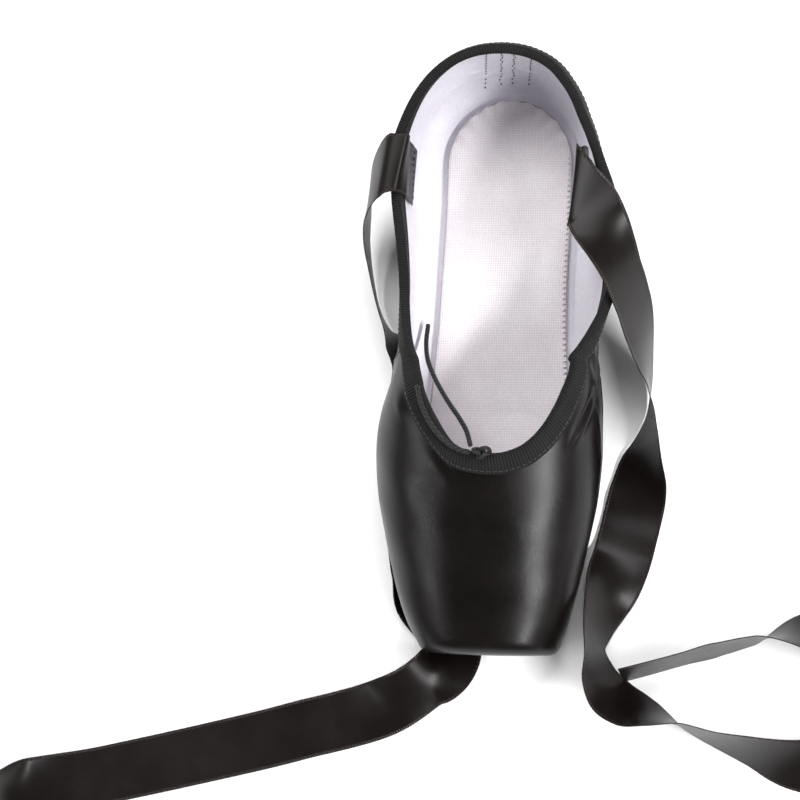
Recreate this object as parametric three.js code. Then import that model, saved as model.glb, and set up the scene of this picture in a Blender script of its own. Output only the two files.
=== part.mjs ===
// Pointe shoe with satin ribbons and an elastic drawstring. Millimetres, +Z up.
// The shoe stands empty on its sole: x runs across, y from toe (-) to heel (+), and z = 0 is the floor.
// Lengths along the last are given as s, the distance from the platform at the toe, so y = s - LENGTH / 2.
import * as THREE from 'three';

// ---- driving sizes ----
const LENGTH = 230;            // platform to the back of the heel
const GAP = 0.3;               // clearance between pieces that touch
const SOLE_THICKNESS = 2.2;    // leather outsole
const INSOLE_THICKNESS = 2;    // board under its woven cover
const BOX_WALL = 2.6;          // stiffened toe box
const QUARTER_WALL = 1.5;      // satin and lining at the sides and heel
const FLANGE_WALL = 1.5;       // turned-in edge under the foot
const TOE_CORNER = 5;          // platform corner radius, in plan and over the top edge
const PLATFORM_BOW = 0.8;      // how far the middle of the platform stands ahead of its corners
const UNDERCUT = 2;            // how far the foot of the platform sits behind its top edge
const TOE_FAN = 105;           // s of the centre that the toe's lines fan out from
const HEEL_FAN = 188;          // s of the centre that the heel's lines fan out from
const HEEL_END = 228.7;        // s of the back of the heel at its widest height
const FLAT_START = 4;          // s where the flat of the underside begins
const FLAT_END = 222;          // s where the flat of the underside ends
const SOLE_START = 18;
const SOLE_END = 224;
const WINDOW_INSET = 5;        // how far the outsole overlaps the turned-in edge
const INSOLE_START = 9;
const INSOLE_END = 218.5;
const BINDING_OUTSIDE = 6.4;     // depth of the collar binding outside
const BINDING_INSIDE = 7.5;    // and inside
const BINDING_THICKNESS = 0.8;
const RIBBON_WIDTH = 22;
const RIBBON_THICKNESS = 0.4;
const CORD_DIAMETER = 1.8;

// ---- tables, one row for each section ----
const rows = (names, values) => values.map((line) => (
  Object.fromEntries(names.map((name, k) => [name, line[k]]))
));

// The last: half width at its widest line, half width of the flat underside, height of the
// widest line, height of the crown and roundness of the section above the widest line.
const LAST = rows(['s', 'half', 'flat', 'rise', 'crown', 'round'], [
  [0, 22.5, 14.5, 10, 28.5, 2.3],
  [5, 26.6, 18.2, 11, 30.4, 2.3],
  [12, 29.8, 21.5, 12.5, 33, 2.3],
  [20, 32.3, 24, 14, 36, 2.3],
  [30, 34.8, 26.3, 15.5, 39.8, 2.2],
  [45, 38.3, 28.4, 17.5, 45.2, 2.2],
  [60, 41, 29.4, 19, 50.3, 2.2],
  [75, 42.1, 29.3, 20, 55.2, 2.2],
  [88, 41.4, 28.4, 21, 57, 2.25],
  [102, 38.9, 27, 21.5, 57.2, 2.35],
  [112, 37.2, 26, 21, 57, 2.6],
  [124, 35.7, 25.2, 20, 57, 3],
  [140, 35, 24.8, 19, 58, 3.3],
  [155, 35.2, 25.1, 18, 59, 3.4],
  [170, 35.9, 25.6, 17, 61, 3.5],
  [188, 36.3, 26, 16, 62, 3.5],
  [230, 36.3, 26, 16, 62, 3.5],
]);
// How far the outsole is clear of the floor: toe spring, flat forefoot, arch, flat heel.
const LIFT = rows(['s', 'lift'], [
  [0, 4.2], [8, 2.9], [16, 1.8], [26, 0.7], [36, 0], [92, 0], [98, 0.7], [105, 1.6], [115, 2.8],
  [128, 3.6], [142, 3.6], [154, 2.4], [165, 0.8], [173, 0], [222, 0], [230, 0.2],
]);
// Throat edge ahead of the toe fan's centre: distance from that centre on each side, by
// angle from straight ahead.
const THROAT = rows(['angle', 'left', 'right'], [
  [0, 36.2, 36.2], [8, 35.5, 36.9], [15, 34.3, 37.4], [24, 31.4, 37.3], [34, 28.9, 36.2],
  [45, 27.3, 34.5], [57, 26.5, 32.4], [70, 26.5, 30.5], [90, 28.3, 29.6],
]);
// Collar: edge height behind that centre, and how far the edge leans out on each side.
const COLLAR = rows(['s', 'height', 'leanLeft', 'leanRight'], [
  [60, 48.4, 0, 0],
  [75, 48.4, -0.4, 0.5],
  [90, 48.4, -1.2, 1.8],
  [105, 48.4, -2, 3.4],
  [110, 45.9, -2, 4.2],
  [116, 43, -1.8, 5.6],
  [125, 39.7, -1, 8.4],
  [135, 37.9, 0, 10.8],
  [148, 36.9, 1.5, 11.4],
  [160, 36.8, 3, 10.4],
  [172, 37.4, 4, 7.6],
  [182, 38.6, 4.3, 4],
  [192, 40.6, 3.4, 0.6],
  [202, 43.3, 1.6, -1.4],
  [212, 46.8, 0.5, -1.2],
  [220, 50, 0, 0],
  [230, 52.5, 0, 0],
]);
// Slow drift of the last's centre line to the left at the ball.
const DRIFT = rows(['s', 'x'], [
  [0, -0.8], [8, -1.6], [20, -2.2], [40, -2.3], [80, -2.3], [105, -0.8], [140, -0.3], [170, 0], [230, 0],
]);
const SOLE = rows(['s', 'half'], [
  [18, 16.5], [30, 20], [45, 24.5], [60, 26.3], [75, 26.3], [88, 24.5], [100, 20.5], [112, 16.5],
  [125, 14], [140, 13.4], [155, 14.2], [170, 16.2], [185, 18.3], [200, 19.2], [212, 19], [224, 18],
]);
const INSOLE = rows(['s', 'half'], [
  [9, 17.5], [20, 20.6], [40, 25], [60, 27.4], [80, 27.6], [100, 26.4], [115, 25.4], [130, 24.6],
  [150, 24.3], [170, 24.4], [190, 24.4], [205, 24], [218.5, 23],
]);
// Routes: centre point, direction across the ribbon, and how far its section curls, in degrees.
const ROUTE = ['x', 's', 'z', 'acrossX', 'acrossS', 'acrossZ', 'curl'];
const LEFT_RIBBON = rows(ROUTE, [
  [-34.2, 182, 23, 0.05, 1, 0, 0],
  [-34.6, 182, 30, 0.05, 1, 0, 0],
  [-34.9, 182, 36.5, 0.05, 1, 0, 0],
  [-36, 182, 41.9, 0.2, 1, 0.06, 0],
  [-41.6, 181.4, 42.4, 0.14, 1, 0.08, 0],
  [-46.8, 178.4, 36, -0.1, 0.92, -0.36, 0],
  [-50.8, 173.8, 27.4, -0.1, 0.78, -0.62, 0],
  [-52.4, 167, 21.5, -0.05, 0.6, -0.8, 0],
  [-53, 158, 17.1, -0.1, 0.35, -0.93, 0],
  [-51.6, 147, 14.1, -0.13, 0.15, -0.98, 0],
  [-49.2, 136, 12.4, -0.12, 0.06, -0.99, 0],
  [-45.6, 126, 11.6, 0, 0, -1, 10],
  [-41.8, 119, 10.2, 0.4, 0, -0.9, 40],
  [-38.2, 110, 7, 0.55, 0, -0.82, 75],
  [-38.6, 99, 4.4, 0.7, 0, -0.72, 95],
  [-40.4, 86, 3.4, 0.77, 0, -0.64, 100],
  [-40.8, 73, 3.4, 0.77, 0, -0.64, 100],
  [-39.9, 59, 3.4, 0.77, 0, -0.64, 105],
  [-37.9, 45, 3, 0.77, 0, -0.64, 125],
  [-33.8, 31.5, 2.7, 0.84, 0, -0.54, 105],
  [-28, 21, 1.5, 0.96, 0.06, -0.14, 50],
  [-20.4, 12.4, 1.1, 0.96, 0.25, -0.12, 30],
  [-16.4, 4, 0.8, 1, 0.1, -0.04, 8],
  [-18.6, -3, 3.3, 0.9, -0.3, -0.2, 0],
  [-24.6, -8.6, 6.8, 0.66, -0.5, -0.56, 0],
  [-33, -14.4, 6.1, 0.5, -0.72, -0.48, 0],
  [-43.6, -19.4, 2.9, 0.34, -0.92, -0.2, 0],
  [-57, -23.6, 1.2, 0.27, -0.96, -0.08, 0],
  [-71, -27.4, 1.6, 0.26, -0.96, -0.1, 0],
  [-85, -31.4, 1.2, 0.26, -0.96, -0.06, 0],
  [-109, -37.6, 0.7, 0.24, -0.97, 0, 0],
  [-133, -43.6, 0.7, 0.22, -0.97, 0, 0],
  [-158, -49.4, 0.8, 0.2, -0.98, -0.02, 0],
  [-178, -52.8, 4.5, 0.12, -0.9, -0.35, 0],
  [-196, -54.6, 11.3, 0, -0.1, -1, 0],
  [-214, -56.2, 4.5, -0.1, 0.9, -0.35, 0],
  [-234, -58.4, 0.8, -0.13, 0.99, -0.02, 0],
  [-258, -62, 0.7, -0.14, 0.99, 0, 0],
  [-282, -65.6, 0.7, -0.14, 0.99, 0, 0],
  [-306, -68.4, 0.7, -0.1, 0.99, 0, 0],
  [-330, -70, 0.7, -0.05, 1, 0, 0],
]);
const RIGHT_RIBBON = rows(ROUTE, [
  [33, 182, 22, -0.08, 1, 0, 0],
  [32.8, 180, 29, -0.08, 1, 0, 0],
  [31.8, 177, 36, -0.06, 1, 0, 0],
  [29.8, 174.2, 41.6, 0, 1, 0, 0],
  [29.3, 171.5, 44.6, 0.09, 0.99, 0, 0],
  [31.6, 168.2, 45.6, 0.3, 0.95, 0, 0],
  [35.8, 163.3, 45.3, 0.6, 0.8, -0.1, 0],
  [39, 157, 44.9, 0.76, 0.62, -0.2, 0],
  [43.2, 149, 43.4, 0.76, 0.4, -0.52, 0],
  [47.6, 139.5, 40, 0.62, 0.25, -0.75, 0],
  [51.2, 130, 33, 0.5, 0.2, -0.85, 0],
  [53.8, 119.5, 23.4, 0.36, 0.1, -0.93, 0],
  [55.8, 108.5, 14.8, 0.14, 0, -0.99, 0],
  [56.5, 98.5, 12, -0.06, 0, -1, 0],
  [56.3, 88.5, 11, -0.3, 0, -0.95, 0],
  [54.8, 78, 8.8, -0.6, 0.05, -0.78, 0],
  [52.8, 67.5, 4, -0.92, 0.2, -0.34, 0],
  [50.6, 58, 0.9, -0.97, 0.25, 0, 0],
  [48.6, 49, 0.8, -0.97, 0.26, 0, 0],
  [46.6, 40.5, 1.2, -0.96, 0.25, 0.04, 0],
  [44.2, 32, 4.2, -0.9, 0.2, 0.33, 0],
  [41.4, 23, 8, -0.7, 0.15, 0.7, 0],
  [38.9, 14, 10.2, -0.45, 0.05, 0.88, 0],
  [37.8, 5, 10.9, -0.25, 0, 0.97, 0],
  [39, -4, 9.4, -0.4, -0.3, 0.8, 0],
  [43.6, -11.8, 8.2, -0.4, -0.6, 0.66, 0],
  [51, -16.4, 8.6, -0.35, -0.6, 0.75, 0],
  [60, -19.2, 10.4, -0.1, -0.35, 0.95, 0],
  [70, -22.2, 11.3, 0, 0.05, 1, 0],
  [82, -26.6, 11, 0.05, 0.2, 0.98, 0],
  [96, -30.5, 10, 0.1, 0.45, 0.88, 0],
  [111, -34.2, 6.6, 0.14, 0.8, 0.58, 0],
  [126, -33.6, 2.4, -0.12, 0.97, 0.2, 0],
  [138.6, -28, 0.8, -0.6, 0.8, 0, 0],
  [146, -17.4, 0.8, -0.93, 0.37, 0, 0],
  [146, -5, 0.8, -0.93, -0.37, 0, 0],
  [138.6, 5.4, 1.2, -0.6, -0.8, 0.03, 0],
  [126, 11, 4.4, -0.2, -0.92, 0.36, 0],
  [112, 12.4, 9.2, 0, -0.6, 0.8, 0],
  [96, 9.4, 11.1, 0.02, 0.05, 1, 0],
  [83, 5.8, 11, 0.05, 0.15, 0.98, 0],
  [70, 2, 11, 0.05, 0.15, 0.98, 0],
  [58, -1.6, 11, 0.05, 0.15, 0.98, 0],
  [47.6, -4.6, 11, 0.05, 0.15, 0.98, 0],
]);
const INNER_END = rows(['x', 's', 'z'], [
  [-3.7, 72, 57], [-5.9, 77.6, 52.4], [-9.7, 83.6, 46], [-14.2, 89.6, 38.6], [-18.4, 95.6, 31.6],
  [-23.4, 103.6, 23.8], [-27.4, 112, 17.4], [-28.8, 119.4, 14], [-28.6, 126.4, 12.6],
]);
const OUTER_END = rows(['x', 's', 'z'], [
  [-4.2, 69.4, 56.8], [-8, 70.4, 56.6], [-12.2, 72.8, 57], [-16.6, 77.2, 57.7], [-20, 82.4, 56.9],
  [-22.6, 88, 55.6], [-24.2, 93.8, 54],
]);
const KNOT = { x: 0.4, s: 69.4, z: 57.2, halfWidth: 3.6, halfLength: 2.6, halfHeight: 2.2 };

// ---- mesh density ----
const TOE_LINES = 15;          // from straight ahead to each side
const SIDE_LINES = 10;         // along each side
const HEEL_LINES = 10;         // from each side to the back
const FLANGE_STEPS = 2;
const LOWER_STEPS = 5;
const UPPER_STEPS = 10;        // from the widest line to the foot of the binding
const SOLE_STATIONS = 34;
const RIBBON_STEPS = 62;
const RIBBON_STRIPS = 2;
const CORD_SIDES = 8;
const LOWER_ROUND = 2.3;       // roundness of the section below the widest line
const EPS = 1e-9;

// ---- helpers ----
const clamp = (value, low, high) => Math.min(high, Math.max(low, value));
const smooth = (t) => {
  const k = clamp(t, 0, 1);
  return k * k * (3 - 2 * k);
};

// A smooth curve through one column of a table that never overshoots its rows.
function column(table, name, key = 's') {
  const x = table.map((row) => row[key]);
  const y = table.map((row) => row[name]);
  const last = x.length - 1;
  const slope = x.slice(1).map((value, k) => (y[k + 1] - y[k]) / (value - x[k]));
  const tangent = x.map((_, k) => {
    if (k === 0) return slope[0];
    if (k === last) return slope[last - 1];
    const [before, after] = [slope[k - 1], slope[k]];
    return before * after <= 0 ? 0 : 2 * before * after / (before + after);
  });
  return (at) => {
    const place = clamp(at, x[0], x[last]);
    let k = 0;
    while (k < last - 1 && place > x[k + 1]) k += 1;
    const span = x[k + 1] - x[k];
    const t = (place - x[k]) / span;
    return y[k] + (y[k + 1] - y[k]) * t * t * (3 - 2 * t)
      + span * (tangent[k] * t * (1 - t) ** 2 - tangent[k + 1] * t * t * (1 - t));
  };
}

const halfAlong = column(LAST, 'half');
const flatAlong = column(LAST, 'flat');
const rise = column(LAST, 'rise');
const crownLine = column(LAST, 'crown');
const roundness = column(LAST, 'round');
const lift = column(LIFT, 'lift');
const throatLeft = column(THROAT, 'left', 'angle');
const throatRight = column(THROAT, 'right', 'angle');
const collarHeight = column(COLLAR, 'height');
const leanLeft = column(COLLAR, 'leanLeft');
const leanRight = column(COLLAR, 'leanRight');
const drift = column(DRIFT, 'x');
const soleHalf = column(SOLE, 'half');
const insoleHalf = column(INSOLE, 'half');

const undersideHeight = (s) => lift(s) + SOLE_THICKNESS + GAP;
const arcEnd = (t, power) => (1 - (1 - clamp(t, 0, 1)) ** power) ** (1 / power);

// Plan outlines, as the half width at s, or 0 outside the outline.
function lastOutline(s) {
  if (s <= 0 || s >= HEEL_END) return 0;
  if (s > HEEL_FAN) return halfAlong(s) * arcEnd((HEEL_END - s) / (HEEL_END - HEEL_FAN), 2.15);
  if (s >= TOE_CORNER) return halfAlong(s);
  return halfAlong(TOE_CORNER) - TOE_CORNER * (1 - arcEnd(s / TOE_CORNER, 2));
}
function flatOutline(s) {
  if (s <= FLAT_START || s >= FLAT_END) return 0;
  if (s > HEEL_FAN) return flatAlong(s) * arcEnd((FLAT_END - s) / (FLAT_END - HEEL_FAN), 2.2);
  return flatAlong(s) - TOE_CORNER * (1 - arcEnd((s - FLAT_START) / TOE_CORNER, 2));
}
function spoonOutline(s, start, end, half, toeRound, heelRound, inset) {
  const first = start + inset;
  const final = end - inset;
  if (s <= first || s >= final) return 0;
  return (half(s) - inset) * arcEnd((s - first) / toeRound, 2) * arcEnd((final - s) / heelRound, 2);
}
const soleOutline = (s, inset = 0) => spoonOutline(s, SOLE_START, SOLE_END, soleHalf, 22, 18, inset);
const insoleOutline = (s) => spoonOutline(s, INSOLE_START, INSOLE_END, insoleHalf, 9, 25, 0);
const windowOutline = (s) => soleOutline(s, WINDOW_INSET);

// Height of the last above its widest line, ahead of the toe fan's centre.
function crown(s) {
  const corner = s < TOE_CORNER ? TOE_CORNER * (1 - arcEnd(s / TOE_CORNER, 2)) : 0;
  return crownLine(s) - corner;
}
function vampHeight(x, s) {
  const across = clamp(Math.abs(x) / Math.max(lastOutline(s), EPS), 0, 1);
  const round = roundness(s);
  return rise(s) + (crown(s) - rise(s)) * (1 - across ** round) ** (1 / round);
}

// Distance from a line's centre to an outline, along the line.
function reach(line, outline) {
  let low = 0;
  let high = 140;
  for (let k = 0; k < 50; k += 1) {
    const mid = (low + high) / 2;
    const x = line.dx * mid;
    const s = line.s + line.ds * mid;
    const bow = s < TOE_FAN ? PLATFORM_BOW * (x / halfAlong(TOE_CORNER)) ** 2 : 0;
    const inside = Math.abs(x) < outline(Math.max(s - bow, -1));
    if (inside) low = mid;
    else high = mid;
  }
  return low;
}

// Lines over the last, each in one upright plane: a fan at the toe, level lines along
// the sides and a fan at the heel, counted round from the left side over the toe.
function lines() {
  const list = [];
  for (let k = -TOE_LINES; k < TOE_LINES; k += 1) {
    const angle = Math.sign(k) * (Math.abs(k) / TOE_LINES) ** 1.7 * Math.PI / 2;
    list.push({ kind: 'toe', angle, s: TOE_FAN, dx: Math.sin(angle), ds: -Math.cos(angle) });
  }
  for (let k = 0; k < SIDE_LINES; k += 1) {
    const s = THREE.MathUtils.lerp(TOE_FAN, HEEL_FAN, k / SIDE_LINES);
    list.push({ kind: 'side', s, dx: 1, ds: 0 });
  }
  for (let k = 0; k < 2 * HEEL_LINES; k += 1) {
    const angle = k / HEEL_LINES * Math.PI / 2;
    list.push({ kind: 'heel', s: HEEL_FAN, dx: Math.cos(angle), ds: Math.sin(angle) });
  }
  for (let k = 0; k < SIDE_LINES; k += 1) {
    const s = THREE.MathUtils.lerp(HEEL_FAN, TOE_FAN, k / SIDE_LINES);
    list.push({ kind: 'side', s, dx: -1, ds: 0 });
  }
  return list;
}

// Lean of the sides, drift of the centre line and undercut of the platform.
function settle(x, s, z) {
  const base = undersideHeight(s);
  const side = x < 0 ? -leanLeft(s) : leanRight(s);
  const up = clamp((z - base) / (collarHeight(s) - base), 0, 1);
  const under = UNDERCUT * (1 - clamp(z / crownLine(0), 0, 1)) * smooth(1 - s / 14);
  return new THREE.Vector3(x + drift(s) + side * up ** 1.8, s + under - LENGTH / 2, z);
}

// The section of the last along one line: along the flat from the window in the
// underside, round the lower corner, up the side and in to the edge of the collar.
function profile(line) {
  const outer = reach(line, lastOutline);
  const flat = reach(line, flatOutline);
  const open = reach(line, windowOutline);
  const at = (r, z) => settle(line.dx * r, line.s + line.ds * r, z);
  const sAt = (r) => line.s + line.ds * r;
  const flange = [];
  for (let k = 0; k < FLANGE_STEPS; k += 1) {
    const r = THREE.MathUtils.lerp(open, flat, k / FLANGE_STEPS);
    flange.push(at(r, undersideHeight(sAt(r))));
  }
  const lower = [];
  for (let k = 0; k <= LOWER_STEPS; k += 1) {
    const turn = k / LOWER_STEPS * Math.PI / 2;
    const r = flat + (outer - flat) * Math.sin(turn) ** (2 / LOWER_ROUND);
    const base = undersideHeight(sAt(r));
    lower.push(at(r, base + (rise(sAt(r)) - base) * (1 - Math.max(Math.cos(turn), 0) ** (2 / LOWER_ROUND))));
  }
  const above = line.kind === 'toe' ? overVamp : upSide;
  return { lower: [...flange, ...lower], above: above(line, outer, at) };
}
function overVamp(line, outer, at) {
  const degrees = line.angle * 180 / Math.PI;
  const inner = degrees < 0 ? throatLeft(-degrees) : throatRight(degrees);
  const path = [at(outer, rise(line.s + line.ds * outer))];
  const count = 90;
  for (let k = 0; k <= count; k += 1) {
    const r = THREE.MathUtils.lerp(outer, inner, (k / count) ** 2.2);
    path.push(at(r, vampHeight(line.dx * r, line.s + line.ds * r)));
  }
  return path;
}
function upSide(line, outer, at) {
  const path = [];
  const count = 60;
  const edge = (turn) => {
    const round = roundness(line.s + line.ds * outer);
    const r = outer * Math.cos(turn) ** (2 / round);
    const s = line.s + line.ds * r;
    return { r, s, z: rise(s) + (crownLine(s) - rise(s)) * Math.sin(turn) ** (2 / round) };
  };
  let low = 0;
  let high = Math.PI / 2;
  for (let k = 0; k < 50; k += 1) {
    const mid = (low + high) / 2;
    const point = edge(mid);
    if (point.z < collarHeight(point.s)) low = mid;
    else high = mid;
  }
  for (let k = 0; k <= count; k += 1) {
    const point = edge(low * k / count);
    path.push(at(point.r, point.z));
  }
  return path;
}

// Points along a path, at the distances that the callback gives for its whole length.
function alongPath(path, distances) {
  const total = [0];
  for (let k = 1; k < path.length; k += 1) total.push(total[k - 1] + path[k].distanceTo(path[k - 1]));
  return distances(total[total.length - 1]).map((distance) => {
    let k = 0;
    while (k < path.length - 2 && total[k + 1] < distance) k += 1;
    const t = (distance - total[k]) / Math.max(total[k + 1] - total[k], EPS);
    return path[k].clone().lerp(path[k + 1], clamp(t, 0, 1));
  });
}

// Outward normals of a grid that is closed round its first index.
function ringNormals(grid) {
  const count = grid.length;
  return grid.map((line, i) => line.map((_, j) => {
    const round = grid[(i + 1) % count][j].clone().sub(grid[(i + count - 1) % count][j]);
    const along = line[Math.min(j + 1, line.length - 1)].clone().sub(line[Math.max(j - 1, 0)]);
    return round.cross(along).normalize();
  }));
}

// ---- closed bodies from grids ----
function body(triangles) {
  const geometry = new THREE.BufferGeometry();
  const positions = triangles.flat().flatMap((point) => [point.x, point.y, point.z]);
  geometry.setAttribute('position', new THREE.Float32BufferAttribute(positions, 3));
  return geometry;
}
const quad = (a, b, c, d) => [[a, b, c], [a, c, d]];
// Cut along the shorter diagonal, so that parallel skins have parallel facets.
const shortQuad = (a, b, c, d) => (a.distanceTo(c) <= b.distanceTo(d) ? quad(a, b, c, d) : quad(b, c, d, a));

// A closed loop of points swept round a ring of stations.
function ringBody(stations) {
  const triangles = [];
  stations.forEach((here, i) => {
    const next = stations[(i + 1) % stations.length];
    here.forEach((point, j) => {
      const k = (j + 1) % here.length;
      triangles.push(...shortQuad(point, next[j], next[k], here[k]));
    });
  });
  return body(triangles);
}
// A closed loop of points swept along open stations, with a cap on each end.
function barBody(stations) {
  const triangles = [];
  const last = stations.length - 1;
  for (let i = 0; i < last; i += 1) {
    stations[i].forEach((point, j) => {
      const k = (j + 1) % stations[i].length;
      triangles.push(...shortQuad(point, stations[i + 1][j], stations[i + 1][k], stations[i][k]));
    });
  }
  const size = stations[0].length;
  for (let j = 0; j < size / 2 - 1; j += 1) {
    const [a, b, c, d] = [j, j + 1, size - 2 - j, size - 1 - j];
    triangles.push(...quad(stations[0][a], stations[0][b], stations[0][c], stations[0][d]));
    triangles.push(...quad(stations[last][d], stations[last][c], stations[last][b], stations[last][a]));
  }
  return body(triangles);
}
function piece(name, geometry, color, roughness) {
  const mesh = new THREE.Mesh(geometry, new THREE.MeshStandardMaterial({ color, roughness, metalness: 0 }));
  mesh.name = name;
  return mesh;
}

// ---- upper: one hollow shell, open at the collar and at the window underneath ----
// Each line's points run from the window to the collar; the last three are the binding's.
const shellOutside = lines().map(profile).map(({ lower, above }) => {
  const warped = alongPath(above, (total) => {
    const open = total - BINDING_OUTSIDE;
    const steps = Array.from({ length: UPPER_STEPS }, (_, k) => open * ((k + 1) / UPPER_STEPS) ** 1.3);
    return [...steps, total - BINDING_OUTSIDE / 2, total];
  });
  return [...lower, ...warped];
});
const shellNormals = ringNormals(shellOutside);
const shellInside = shellOutside.map((line, i) => line.map((point, j) => {
  const side = THREE.MathUtils.lerp(BOX_WALL, QUARTER_WALL, smooth((point.y + LENGTH / 2 - 72) / 36));
  const wall = THREE.MathUtils.lerp(FLANGE_WALL, side, smooth((j - FLANGE_STEPS) / LOWER_STEPS));
  return point.clone().addScaledVector(shellNormals[i][j], -wall);
}));
function upper() {
  const stations = shellOutside.map((line, i) => [...line, ...[...shellInside[i]].reverse()]);
  return piece('upper', ringBody(stations), 0x141214, 0.4);
}

// ---- collar binding: a folded strip over the edge of the collar ----
function collarBinding() {
  const far = GAP + BINDING_THICKNESS;
  const stations = shellOutside.map((line, i) => {
    const last = line.length - 1;
    const up = line[last].clone().sub(line[last - 1]).normalize();
    const off = (point, j, distance, above = 0) => point.clone()
      .addScaledVector(shellNormals[i][j], distance)
      .addScaledVector(up, above);
    const [outDeep, outMiddle, outEdge] = [line[last - 2], line[last - 1], line[last]];
    const [inMiddle, inEdge] = [shellInside[i][last - 1], shellInside[i][last]];
    const inDeep = inMiddle.clone().lerp(shellInside[i][last - 2], BINDING_INSIDE * 2 / BINDING_OUTSIDE - 1);
    return [
      off(outDeep, last - 2, far),
      off(outMiddle, last - 1, far),
      off(outEdge, last, far),
      off(outEdge, last, far * 0.4, far),
      off(inEdge, last, -far * 0.4, far),
      off(inEdge, last, -far),
      off(inMiddle, last - 1, -far),
      off(inDeep, last - 2, -far),
      off(inDeep, last - 2, -GAP),
      off(inMiddle, last - 1, -GAP),
      off(inEdge, last, -GAP, GAP),
      off(outEdge, last, GAP, GAP),
      off(outMiddle, last - 1, GAP),
      off(outDeep, last - 2, GAP),
    ];
  });
  return piece('collar_binding', ringBody(stations), 0x1a1819, 0.8);
}

// ---- outsole and insole ----
function stationsAlong(start, end, inset) {
  return Array.from({ length: SOLE_STATIONS + 1 }, (_, k) => {
    const t = (1 - Math.cos(k / SOLE_STATIONS * Math.PI)) / 2;
    return THREE.MathUtils.lerp(start + inset, end - inset, t);
  });
}
function outsole() {
  const stations = stationsAlong(SOLE_START, SOLE_END, 0.6).map((s) => {
    const half = soleOutline(s);
    const [y, low] = [s - LENGTH / 2, lift(s)];
    const at = (x, z) => new THREE.Vector3(x + drift(s), y, z);
    const [edge, top] = [low + SOLE_THICKNESS * 0.4, low + SOLE_THICKNESS];
    const foot = half - Math.min(0.7, half * 0.2);
    return [
      at(-half, top), at(-half, edge), at(-foot, low), at(foot, low), at(half, edge), at(half, top),
    ];
  });
  return piece('outsole', barBody(stations), 0x8a5a3a, 0.7);
}
function insole() {
  const stations = stationsAlong(INSOLE_START, INSOLE_END, 0.8).map((s) => {
    const half = insoleOutline(s);
    const low = undersideHeight(s) + FLANGE_WALL + GAP;
    const top = low + INSOLE_THICKNESS;
    const at = (x, z) => new THREE.Vector3(x + drift(s), s - LENGTH / 2, z);
    const shoulder = half - Math.min(0.6, half * 0.2);
    return [
      at(-shoulder, top), at(-half, low + INSOLE_THICKNESS / 2), at(-half + 0.3, low),
      at(half - 0.3, low), at(half, low + INSOLE_THICKNESS / 2), at(shoulder, top),
    ];
  });
  return piece('insole', barBody(stations), 0xe9e2e4, 0.9);
}

const curveThrough = (table) => new THREE.CatmullRomCurve3(
  table.map((row) => new THREE.Vector3(row.x, row.s - LENGTH / 2, row.z)),
);

// ---- ribbons: flat strips whose section may curl ----
function ribbon(name, table) {
  const centre = curveThrough(table);
  const across = new THREE.CatmullRomCurve3(table.map((row) => (
    new THREE.Vector3(row.acrossX, row.acrossS, row.acrossZ).normalize()
  )));
  const curlRows = table.map((row, k) => ({ t: k / (table.length - 1), curl: row.curl }));
  const curl = column(curlRows, 'curl', 't');
  const stations = [];
  for (let k = 0; k <= RIBBON_STEPS; k += 1) {
    const t = k / RIBBON_STEPS;
    const point = centre.getPoint(t);
    const along = centre.getTangent(t);
    const side = across.getPoint(t);
    const given = side.clone().normalize();
    side.addScaledVector(along, -side.dot(along)).normalize();
    const face = along.clone().cross(side);
    // Over the wall the ribbon is folded askew, so its sections there follow the fold.
    const askew = 1 - smooth((t * (table.length - 1) - 5) / 2);
    const reachAcross = Math.min(1 / given.dot(side), 1.38);
    side.lerp(given.multiplyScalar(reachAcross), askew);
    const bend = THREE.MathUtils.degToRad(curl(t)) || 1e-3;
    const radius = RIBBON_WIDTH / bend;
    const at = (j, offset) => {
      const turn = (j / RIBBON_STRIPS - 0.5) * bend;
      return point.clone()
        .addScaledVector(side, (radius - offset) * Math.sin(turn))
        .addScaledVector(face, radius - (radius - offset) * Math.cos(turn));
    };
    const loop = [];
    for (let j = 0; j <= RIBBON_STRIPS; j += 1) loop.push(at(j, RIBBON_THICKNESS / 2));
    for (let j = RIBBON_STRIPS; j >= 0; j -= 1) loop.push(at(j, -RIBBON_THICKNESS / 2));
    stations.push(loop);
  }
  return piece(name, barBody(stations), 0x1b191a, 0.45);
}

// ---- drawstring: a knot at the throat and its two ends ----
function drawstringEnd(name, table) {
  const curve = curveThrough(table);
  const section = new THREE.Shape();
  for (let k = 0; k < CORD_SIDES; k += 1) {
    const angle = k / CORD_SIDES * 2 * Math.PI;
    const [x, y] = [Math.cos(angle) * CORD_DIAMETER / 2, Math.sin(angle) * CORD_DIAMETER / 2];
    if (k === 0) section.moveTo(x, y);
    else section.lineTo(x, y);
  }
  section.closePath();
  const steps = Math.round(curve.getLength() / (2.5 * CORD_DIAMETER));
  const tube = new THREE.ExtrudeGeometry(section, { steps, extrudePath: curve, curveSegments: 1 });
  return piece(name, tube, 0x1d1b1c, 0.7);
}
function drawstringKnot() {
  const ball = new THREE.SphereGeometry(1, 12, 8);
  ball.scale(KNOT.halfWidth, KNOT.halfLength, KNOT.halfHeight);
  const mesh = piece('drawstring_knot', ball, 0x1d1b1c, 0.7);
  mesh.position.set(KNOT.x, KNOT.s - LENGTH / 2, KNOT.z);
  return mesh;
}

const shoe = new THREE.Group();
shoe.add(upper(), collarBinding(), outsole(), insole());
shoe.add(ribbon('ribbon_left', LEFT_RIBBON), ribbon('ribbon_right', RIGHT_RIBBON));
shoe.add(drawstringKnot(), drawstringEnd('drawstring_inner_end', INNER_END));
shoe.add(drawstringEnd('drawstring_outer_end', OUTER_END));
export default shoe;
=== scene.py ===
import math

import bpy
import numpy as np
from mathutils import Matrix, Vector


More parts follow.
